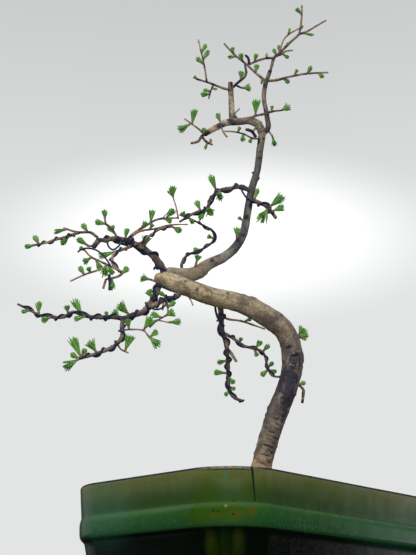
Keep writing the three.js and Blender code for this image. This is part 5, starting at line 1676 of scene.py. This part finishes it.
def build_stage():
    """A round pale floor that runs up in a cove into a dome, all in one smooth skin."""
    climb = np.radians(np.linspace(0, 90, 28))
    cove = climb[:10] * 3
    radius = np.concatenate([
        [0.4, 1.5, 3.0], STAGE_RADIUS - COVE_RADIUS + COVE_RADIUS * np.sin(cove),
        STAGE_RADIUS * np.cos(climb[1:-1]),
    ])
    rise = np.concatenate([
        [0, 0, 0], COVE_RADIUS - COVE_RADIUS * np.cos(cove),
        COVE_RADIUS + DOME_RISE * np.sin(climb[1:-1]),
    ])
    plan = radius[:, None, None] * on_circle(even_angles(STAGE_SIDES))
    points = np.concatenate([plan, np.broadcast_to(rise[:, None, None], plan.shape[:2] + (1,))], -1)
    count, sides = points.shape[:2]
    first = np.arange(sides)
    last = (count - 1) * sides + first
    faces = squares(count, sides)[:, ::-1].tolist() + [first.tolist(), last[::-1].tolist()]
    mesh = bpy.data.meshes.new("backdrop")
    mesh.from_pydata(points.reshape(-1, 3).tolist(), [], faces)
    mesh.polygons.foreach_set("use_smooth", [True] * len(mesh.polygons))
    stage = bpy.data.objects.new("backdrop", mesh)
    bpy.context.scene.collection.objects.link(stage)
    for ray_kind in ("visible_diffuse", "visible_glossy", "visible_transmission", "visible_shadow"):
        setattr(stage, ray_kind, False)
    return stage


def turned_to_part(vector):
    """A direction of the front view's layout, turned into the part's frame."""
    cosine, sine = math.cos(FRONT_TURN), math.sin(FRONT_TURN)
    across, depth, up = vector
    return np.array([cosine * across - sine * depth, sine * across + cosine * depth, up])


def glow_frame():
    """The middle of the backdrop's glow, behind the tree's lower half, and its two directions."""
    forward = np.array([0.0, math.cos(CAMERA_TILT), math.sin(CAMERA_TILT)])
    upward = np.array([0.0, -math.sin(CAMERA_TILT), math.cos(CAMERA_TILT)])
    ray = turned_to_part(unit(np.array([GLOW_ASIDE, 0, 0]) + GLOW_RISE * upward + forward))
    flat = np.linalg.norm(ray[:2])
    inward = CAMERA_PLACE[:2] @ ray[:2] / flat
    beyond = inward**2 - CAMERA_PLACE[:2] @ CAMERA_PLACE[:2] + STAGE_RADIUS**2 * GLOW_WALL
    reach = -inward + math.sqrt(beyond)
    return CAMERA_PLACE + ray * reach / flat, turned_to_part([1, 0, 0]), turned_to_part(upward)


def backdrop_material():
    """A pale floor that takes shadows, and a wall lit evenly from within, with a soft white glow.

    The glow's strength eases from 1 to 0 with the distance from its middle, each way measured in
    units of its own reach across and up.
    """
    material, tree, shader = start_material("Pale backdrop")
    place = add(tree, "ShaderNodeTexCoord").outputs["Object"]
    middle, sideways, upward = glow_frame()
    apart = vector_maths(tree, "SUBTRACT", place, tuple(middle))[0]
    reach = []
    for direction, size in ((sideways, GLOW_ACROSS), (upward, GLOW_UP)):
        share = share_along(tree, apart, direction / size)
        reach.append(maths(tree, "POWER", maths(tree, "ABSOLUTE", share), 2.0))
    far = maths(tree, "SQRT", maths(tree, "ADD", *reach))
    height = parts_of(tree, place)[2]
    wall = blend(tree, between(tree, height, 2.0, 5.0), tone(227, 229, 229), tone(193, 194, 195))
    wall = blend(tree, between(tree, far, 1.25, 0.3), wall, (1.15, 1.15, 1.15, 1))
    flat = vector_maths(tree, "MULTIPLY", place, (1.0, 1.0, 0.0))[0]
    out = vector_maths(tree, "LENGTH", flat)["Value"]
    upright = between(tree, out, FLOOR_RADIUS, FLOOR_RADIUS + 1.2)
    feed(tree, shader, {"Emission Color": wall, "Emission Strength": upright})
    ground = blend(tree, upright, tone(158, 159, 160), (0, 0, 0, 1))
    finish_material(tree, shader, ground, 1.0)
    shader.inputs["Specular IOR Level"].default_value = 0
    return material


def soft_light(name, place, size, power, colour):
    """A round lamp that aims at the tree's middle, and that no glossy surface mirrors."""
    place = planted(place)
    lamp = bpy.data.lights.new(name, "AREA")
    lamp.shape = "DISK"
    lamp.size = size
    lamp.energy = power
    lamp.color = colour
    holder = bpy.data.objects.new(name, lamp)
    holder.location = place
    way = mathutils.Vector(TREE_MIDDLE - place)
    holder.rotation_euler = way.to_track_quat("-Z", "Y").to_euler()
    holder.visible_glossy = False
    bpy.context.scene.collection.objects.link(holder)


def sky():
    """Soft light from all round: bright overhead and behind, dark in front and from below.

    Near the two sides the wall has its own levels: a low one on the left, and on the right one that
    rises steeply towards the back.
    """
    world = bpy.data.worlds.new("Studio")
    world.use_nodes = True
    bpy.context.scene.world = world
    tree = world.node_tree
    way = add(tree, "ShaderNodeTexCoord").outputs["Generated"]
    rise = parts_of(tree, way)[2]
    behind = share_along(tree, way, turned_to_part([0, 1, 0]))
    across = share_along(tree, way, turned_to_part([1, 0, 0]))
    level = between(tree, rise, 0.3, 0.95, 0.015, SKY_TOP)
    wall = times(tree, between(tree, behind, 0.12, 0.55, 0.0, SKY_BACK),
                 between(tree, rise, -0.3, 0.1))
    wall = times(tree, wall, between(tree, behind, 0.6, 0.9, 1.0, 0.1))
    wall = times(tree, wall, between(tree, across, -0.55, -0.2, 0.4, 1.0))
    right = times(tree, between(tree, behind, 0.19, 0.3, 0.0, 0.85),
                  between(tree, rise, 0.05, 0.3, 1.0, 0.2))
    right = times(tree, right, between(tree, rise, -0.3, -0.06))
    below = between(tree, rise, -0.05, -0.09)
    steep = times(tree, below, between(tree, behind, 0.215, 0.275, 0.0, 1.4))
    steep = maths(tree, "ADD", maths(tree, "SUBTRACT", 1.0, below), steep)
    right = times(tree, right, steep)
    left = times(tree, between(tree, behind, -0.06, 0.02, 0.0, 0.42),
                 between(tree, rise, -0.2, 0.0, 0.15, 1.0))
    for own, low, high in ((right, 0.8, 0.9), (left, -0.8, -0.9)):
        here = between(tree, across, low, high)
        wall = maths(tree, "ADD", times(tree, wall, maths(tree, "SUBTRACT", 1.0, here)),
                     times(tree, own, here))
    level = maths(tree, "ADD", level, wall)
    back = tree.nodes["Background"]
    back.inputs["Color"].default_value = (0.97, 0.985, 1.0, 1)
    tree.links.new(level, back.inputs["Strength"])


scene = bpy.context.scene
scene.view_settings.view_transform = "Standard"
scene.view_settings.look = "None"
build_stage().data.materials.append(backdrop_material())
sky()
for lamp_name, measures in LAMPS.items():
    soft_light(lamp_name, *measures)

camera_data = bpy.data.cameras.new("Camera")
camera_data.lens = LENS
camera_data.sensor_width = SENSOR_WIDTH
camera = bpy.data.objects.new("Camera", camera_data)
camera.location = CAMERA_PLACE
camera.rotation_euler = (math.pi / 2 + CAMERA_TILT, 0, FRONT_TURN)
scene.collection.objects.link(camera)
scene.camera = camera

# ---- Assembly ----

# Barks: their dark and light grain, new wood, stains with painted shade, and how deep their relief
# looks, in mm.
TRUNK_BARKS = [
    bark_material("Larch bark", (88, 78, 65), (159, 145, 117), (156, 119, 78), (56, 53, 59), 0.7),
    bark_material("Upper bark", (60, 59, 60), (118, 113, 102), (156, 137, 106), (55, 55, 59), 0.5),
    bark_material(
        "Bleached wood", (92, 80, 70), (160, 144, 124), (176, 140, 98), (60, 54, 60), 0.4),
    bark_material("Leader bark", (66, 55, 56), (116, 102, 94), (140, 116, 92), (48, 44, 54), 0.3),
]
TWIG_BARK = bark_material(
    "Twig bark", (66, 57, 52), (130, 115, 96), (164, 130, 90), (54, 48, 54), 0.3)
NEEDLES = needle_material()
BUDS = bud_material()
WIRE = wire_material()

foot_across, foot_depth = LIMBS["trunk"]["lower"]["path"][0][:2]
FOOT_SPOT = (planted([foot_across, foot_depth, 0]) - POT_MIDDLE)[:2] / MM


def root_limbs():
    """The surface roots, which run out and down into the soil."""
    for turn, reach, girth in ROOTS:
        aside, back = math.cos(math.radians(turn)) * reach, math.sin(math.radians(turn)) * reach
        yield limb([girth, girth * 0.5], [
            [foot_across + aside * share, foot_depth + back * share, up]
            for share, up in ((0.1, 18), (0.6, 6), (1.2, -10))
        ])


def slits(straight, looks):
    """Dark slits across the foot of the trunk: rows a few mm apart, each at its own place on it.

    A slit's strength falls off with the distance from its row's middle and from its own middle.
    """
    along = looks["along"] + 1.1 * noise(straight / [6, 6, 9], 92)
    row = np.floor(along / SLIT_PITCH)
    off = np.abs(along / SLIT_PITCH - row - 0.5) * SLIT_PITCH
    number = row.astype(np.int64)
    middle = SLIT_ROUND + SLIT_SPREAD * (scattered(number, 5, 0, 93) - 0.5)
    half = 2.6 + 3.2 * scattered(number, 7, 0, 94)
    side = np.abs(np.radians(looks["round"] - middle)) * looks["radius"]
    within = held((looks["along"] - 10) / 6) * held((SLIT_REACH - looks["along"]) / 16)
    return held(1.35 - off / 0.75) * held(1.5 - side / half) * within


def wrinkles(straight, looks):
    """Fine creases across the bark, from 0 to 1, strongest near the foot and faint higher up."""
    crease = ridged(straight / [13, 13, 2.7], 13)
    near = np.clip(1.15 - looks["along"] / 105, 0.18, 1)
    return near * held((crease - 0.62) / 0.38)


def trunk_bumps(straight, looks):
    """The lower trunk's relief in mm: three noises, creases, slits, scars and a swollen cut end."""
    coarse = 0.55 * rough(straight / [9, 9, 13], 11)
    plates = 0.28 * rough(straight / [3.2, 3.2, 4], 12, 2)
    knobs = 1.2 * held(rough(straight / [4.5, 4.5, 4.0], 14, 2) - 0.38)
    cut = 0.42 * wrinkles(straight, looks) + 0.9 * slits(straight, looks)
    swell = np.exp(-(((looks["share"] - 0.955) / 0.03) ** 2))
    swell = swell - 2.2 * held((looks["share"] - 0.978) / 0.022) ** 2
    scars = marked(straight, looks, LOWER_MARKS)[1] + marked(straight, looks, PALE_MARKS)[1]
    return coarse + plates + knobs + swell - cut + scars


def trunk_shades(straight, looks):
    """Grey: painted shade in clouds on the right, stains partly painted shade, streaks. Black:
    slits, scars.
    """
    cloud = held(rough(straight / [8, 8, 15], 15) * 1.7 - 0.35)
    right = held(np.sin(np.radians(looks["round"])) * 0.5 + 0.6)
    low = held(1.5 - looks["along"] / 50)
    blot = held(rough(straight / [3.4, 3.4, 6], 18) * 2.4 - 0.9) * (0.6 - 0.25 * low)
    age = 0.5 * held((0.8 - looks["share"]) / 0.3) * (1 - 0.6 * low)
    streak = rough((straight + [0, 0, 0.5] * straight[..., :1]) / [1.8, 1.8, 8], 24)
    # Stains, partly painted shade, streaked by noise.
    stain_and_shade = marked(straight, looks, LOWER_STAINS_AND_SHADE)[0] * (0.92 + 0.3 * streak)
    # Painted shade: darker towards the trunk's right side, where less light falls, and fainter past
    # the bend.
    shade = (0.25 + 0.45 * right) * (1 - 0.65 * held((looks["share"] - 0.5) / 0.15))
    broad = np.minimum(shade * cloud + blot + age * (1 + 0.6 * streak), 0.62)
    broad = np.maximum(broad, np.minimum(stain_and_shade, 0.84))
    sharp = marked(straight, looks, LOWER_MARKS)[0] + slits(straight, looks)
    dark = np.maximum(broad, sharp) + 0.4 * wrinkles(straight, looks)
    foot = held(1.7 - looks["along"] / 20)
    pale = marked(straight, looks, PALE_MARKS)[0]
    dark = held(dark - 0.5 * foot) * (1 - pale)
    red = marked(straight, looks, RED_MARKS)[0]
    return shade_stack(straight, dark, np.maximum(foot, 0.12), red)


def upper_bumps(straight, looks):
    """The upper trunk's relief in mm: two noises and its own scars."""
    lumps = 0.4 * rough(straight / [5, 5, 9], 19) + 0.2 * rough(straight / 2.0, 20, 2)
    return lumps + marked(straight, looks, UPPER_MARKS)[1]


def upper_shades(straight, looks):
    """Clouds, stripes and blots by noise over warm wood at both ends and grey wood between."""
    cloud = held(rough(straight / [6, 6, 17], 16) * 1.9 - 0.3)
    stripe = held(rough(straight / [2.4, 2.4, 12], 21) * 2.2 - 0.7)
    grey = held((looks["share"] - 0.22) / 0.12)
    age = 0.55 * held((looks["share"] - 0.5) / 0.2) * held((1.0 - looks["share"]) / 0.14)
    blot = held(rough(straight / [2.2, 2.2, 3.4], 25, 2) * 2.6 - 0.8) * 0.35
    dark = marked(straight, looks, UPPER_MARKS)[0]
    dark = dark + (0.4 + 0.6 * grey) * (0.5 * cloud + 0.3 * stripe) + age + blot
    warm = 0.45 * (1 - grey) + 0.45 * held((looks["share"] - 0.88) / 0.1)
    return shade_stack(straight, held(dark), warm, 0)


def wood_looks(label, owner):
    """The bumps and shades of a length of old wood, with its own marks, dark joints and painted
    light.
    """
    places = joints(owner)
    marks = WOOD_MARKS.get(label, [])

    def bumps(straight, looks):
        lumps = 0.34 * rough(straight / [4, 4, 7], 19) + 0.16 * rough(straight / 1.6, 20, 2)
        return lumps + marked(straight, looks, marks)[1]

    def shades(straight, looks):
        cloud = held(rough(straight / [5, 5, 13], 22) * 1.9 - 0.4)
        cracks = held(rough(straight / [1.7, 1.7, 12], 23) * 2.4 - 0.7)
        end = held((looks["share"] - 0.9) / 0.06)
        rising = looks["rising"]
        # Painted light and shade: lighter where the wood faces up, darker where it faces down.
        lit = 0.2 * held(-rising) - 0.5 * held(rising + 0.35)
        joint = 0.7 * near_joints(straight, looks, places)
        dark = 0.5 * cloud + 0.5 * cracks + joint + 0.4 * end + lit
        dark = np.maximum(dark, marked(straight, looks, marks)[0])
        warm = np.clip(looks["share"] - 0.6, 0, 0.4)
        return shade_stack(straight, np.clip(dark, 0, 0.9), warm, 0)

    return bumps, shades


def dress_trunk():
    """The trunk's own limbs, its stump in the soil and its surface roots, as one piece."""
    surfaces = []
    for index, (label, owner) in enumerate(LIMBS["trunk"].items()):
        if label == "lower":
            surfaces.append(limb_surface(owner, 1, 0.68, 96, trunk_bumps, trunk_shades, end=0.75))
        elif label == "upper":
            surfaces.append(limb_surface(owner, 2, 0.8, 52, upper_bumps, upper_shades, 1))
        else:
            bark = 3 if label == "leader" else 2
            dress = wood_looks(label, owner)
            surfaces.append(limb_surface(owner, 3 + index, 0.8, 28, *dress, bark))
    stump = limb([19, 27], [[foot_across, foot_depth, -TRUNK_DEPTH], [foot_across, foot_depth, 6]])
    for index, owner in enumerate([stump, *root_limbs()]):
        surfaces.append(limb_surface(owner, 20 + index, 1.2, 30, upper_bumps, trunk_shades))
    mesh_piece("trunk_bark", surfaces, TRUNK_BARKS, ["trunk"])


def bud_surface(tip, direction, girth, seed):
    """A pointed end bud with three rows of scales, a little wider than its twig."""
    wide = max(0.8, 0.56 * girth)
    scales = [
        (0.8, -0.6), (1.02, 0), (1.2, 0.5), (1.05, 0.7), (1.18, 1.3), (0.9, 1.6), (0.92, 2.2),
        (0.5, 2.7), (0.12, 3.1),
    ]
    profile = [[wide * out, up] for out, up in scales]
    return turned_surface(tip - 3 * direction, direction, profile, 12, [0.1, 0.2, 0], seed, 1)


def dress_spray(node, limbs, number):
    """A spray's twigs with a spur at each shoot, its end buds, and its needles."""
    draws = np.random.default_rng(100 + number)
    wood, tufts = [], []
    for index, (label, owner) in enumerate(limbs.items()):
        girth = owner["girth"][0]
        sides = 22 if girth > 4 else 14
        seed = number + 0.37 * index
        warmth = np.clip(0.8 - girth / 5.0, 0, 0.5)
        spacing = 0.7 if girth > 3 else 0.8
        darkness = 0.8 if (node, label) in BLACKENED else 0.1 if girth < 3.4 else 0.3
        shades = twig_shades(owner, warmth, darkness)
        wood.append(limb_surface(owner, seed, spacing, sides, twig_bumps(girth), shades))
        for shoot in owner["shoots"]:
            share, _, _, reach, width = shoot
            base, _ = curve_place(owner, share)
            direction = shoot_direction(shoot)
            bark = evenly(owner["girth"], share) / 2
            top = min(bark + SPUR_RISE * draws.uniform(0.15, 0.75), reach * 0.38)
            wood.append(spur_surface(base, direction, top, seed + share))
            shade = draws.random()
            foot = base + top * direction
            tufts.append(tuft_needles(foot, direction, reach - top, width, shade, draws))
        tip, direction = curve_place(owner, 1)
        if (node, label) in GREEN_TIPS:
            tufts.append(tuft_needles(tip - 4 * direction, direction, 3.6, 3, 0.4, draws))
        last = max([shoot[0] for shoot in owner["shoots"]], default=0)
        if last < 0.95 and label not in BARE_ENDS and girth < 4:
            wood.append(bud_surface(tip, direction, owner["girth"][-1], seed))
    mesh_piece(node + "_twigs", wood, [TWIG_BARK, BUDS], [node])
    if tufts:
        mesh_piece(node + "_needles", [needle_surface(tufts)], [NEEDLES], [node])


dress_trunk()
for number, (node, limbs) in enumerate(LIMBS.items()):
    if node != "trunk":
        dress_spray(node, limbs, number)
for number, (node, (gauge, spray, label, first, last, turns)) in enumerate(WIRES.items()):
    points = coil_points(LIMBS[spray][label], first, last, turns, gauge)
    coil = tube_surface(points, gauge / 2 * WIRE_SWELL, WIRE_SIDES, number)
    mesh_piece(node + "_coil", [coil], [WIRE], [node])
loose = []
for number, (gauge, path) in enumerate(LOOSE_WIRES):
    line, _ = curve_through(path, round(curve_length(path) / LOOSE_PITCH))
    loose.append(tube_surface(line, gauge / 2 * WIRE_SWELL, WIRE_SIDES, 40 + number))
mesh_piece("loose_wires", loose, [WIRE], [])

pot_skin, pot_paint = pot_surfaces()
mesh_piece("glazed_pot", pot_skin, [glaze_material(), rim_material()], ["pot"],
           place=potted, paint=pot_paint)
mesh_piece("soil_bed", [soil_surface()], [soil_material()], ["soil"], place=potted)
soil_draws = np.random.default_rng(7)
mesh_piece("clay_grains", [grit_surface(GRAIN_COUNT, soil_draws)], [grit_material()], [],
           place=potted, smooth=False)
mesh_piece("moss_leaves", [moss_surface(LEAF_COUNT, soil_draws)], [moss_material()], [],
           place=potted, smooth=False)
SCREEN = mesh_material()
for node in ("drain_screen_1", "drain_screen_2"):
    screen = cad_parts[node]
    screen.data.materials.clear()
    screen.data.materials.append(SCREEN)

bpy.context.view_layer.update()
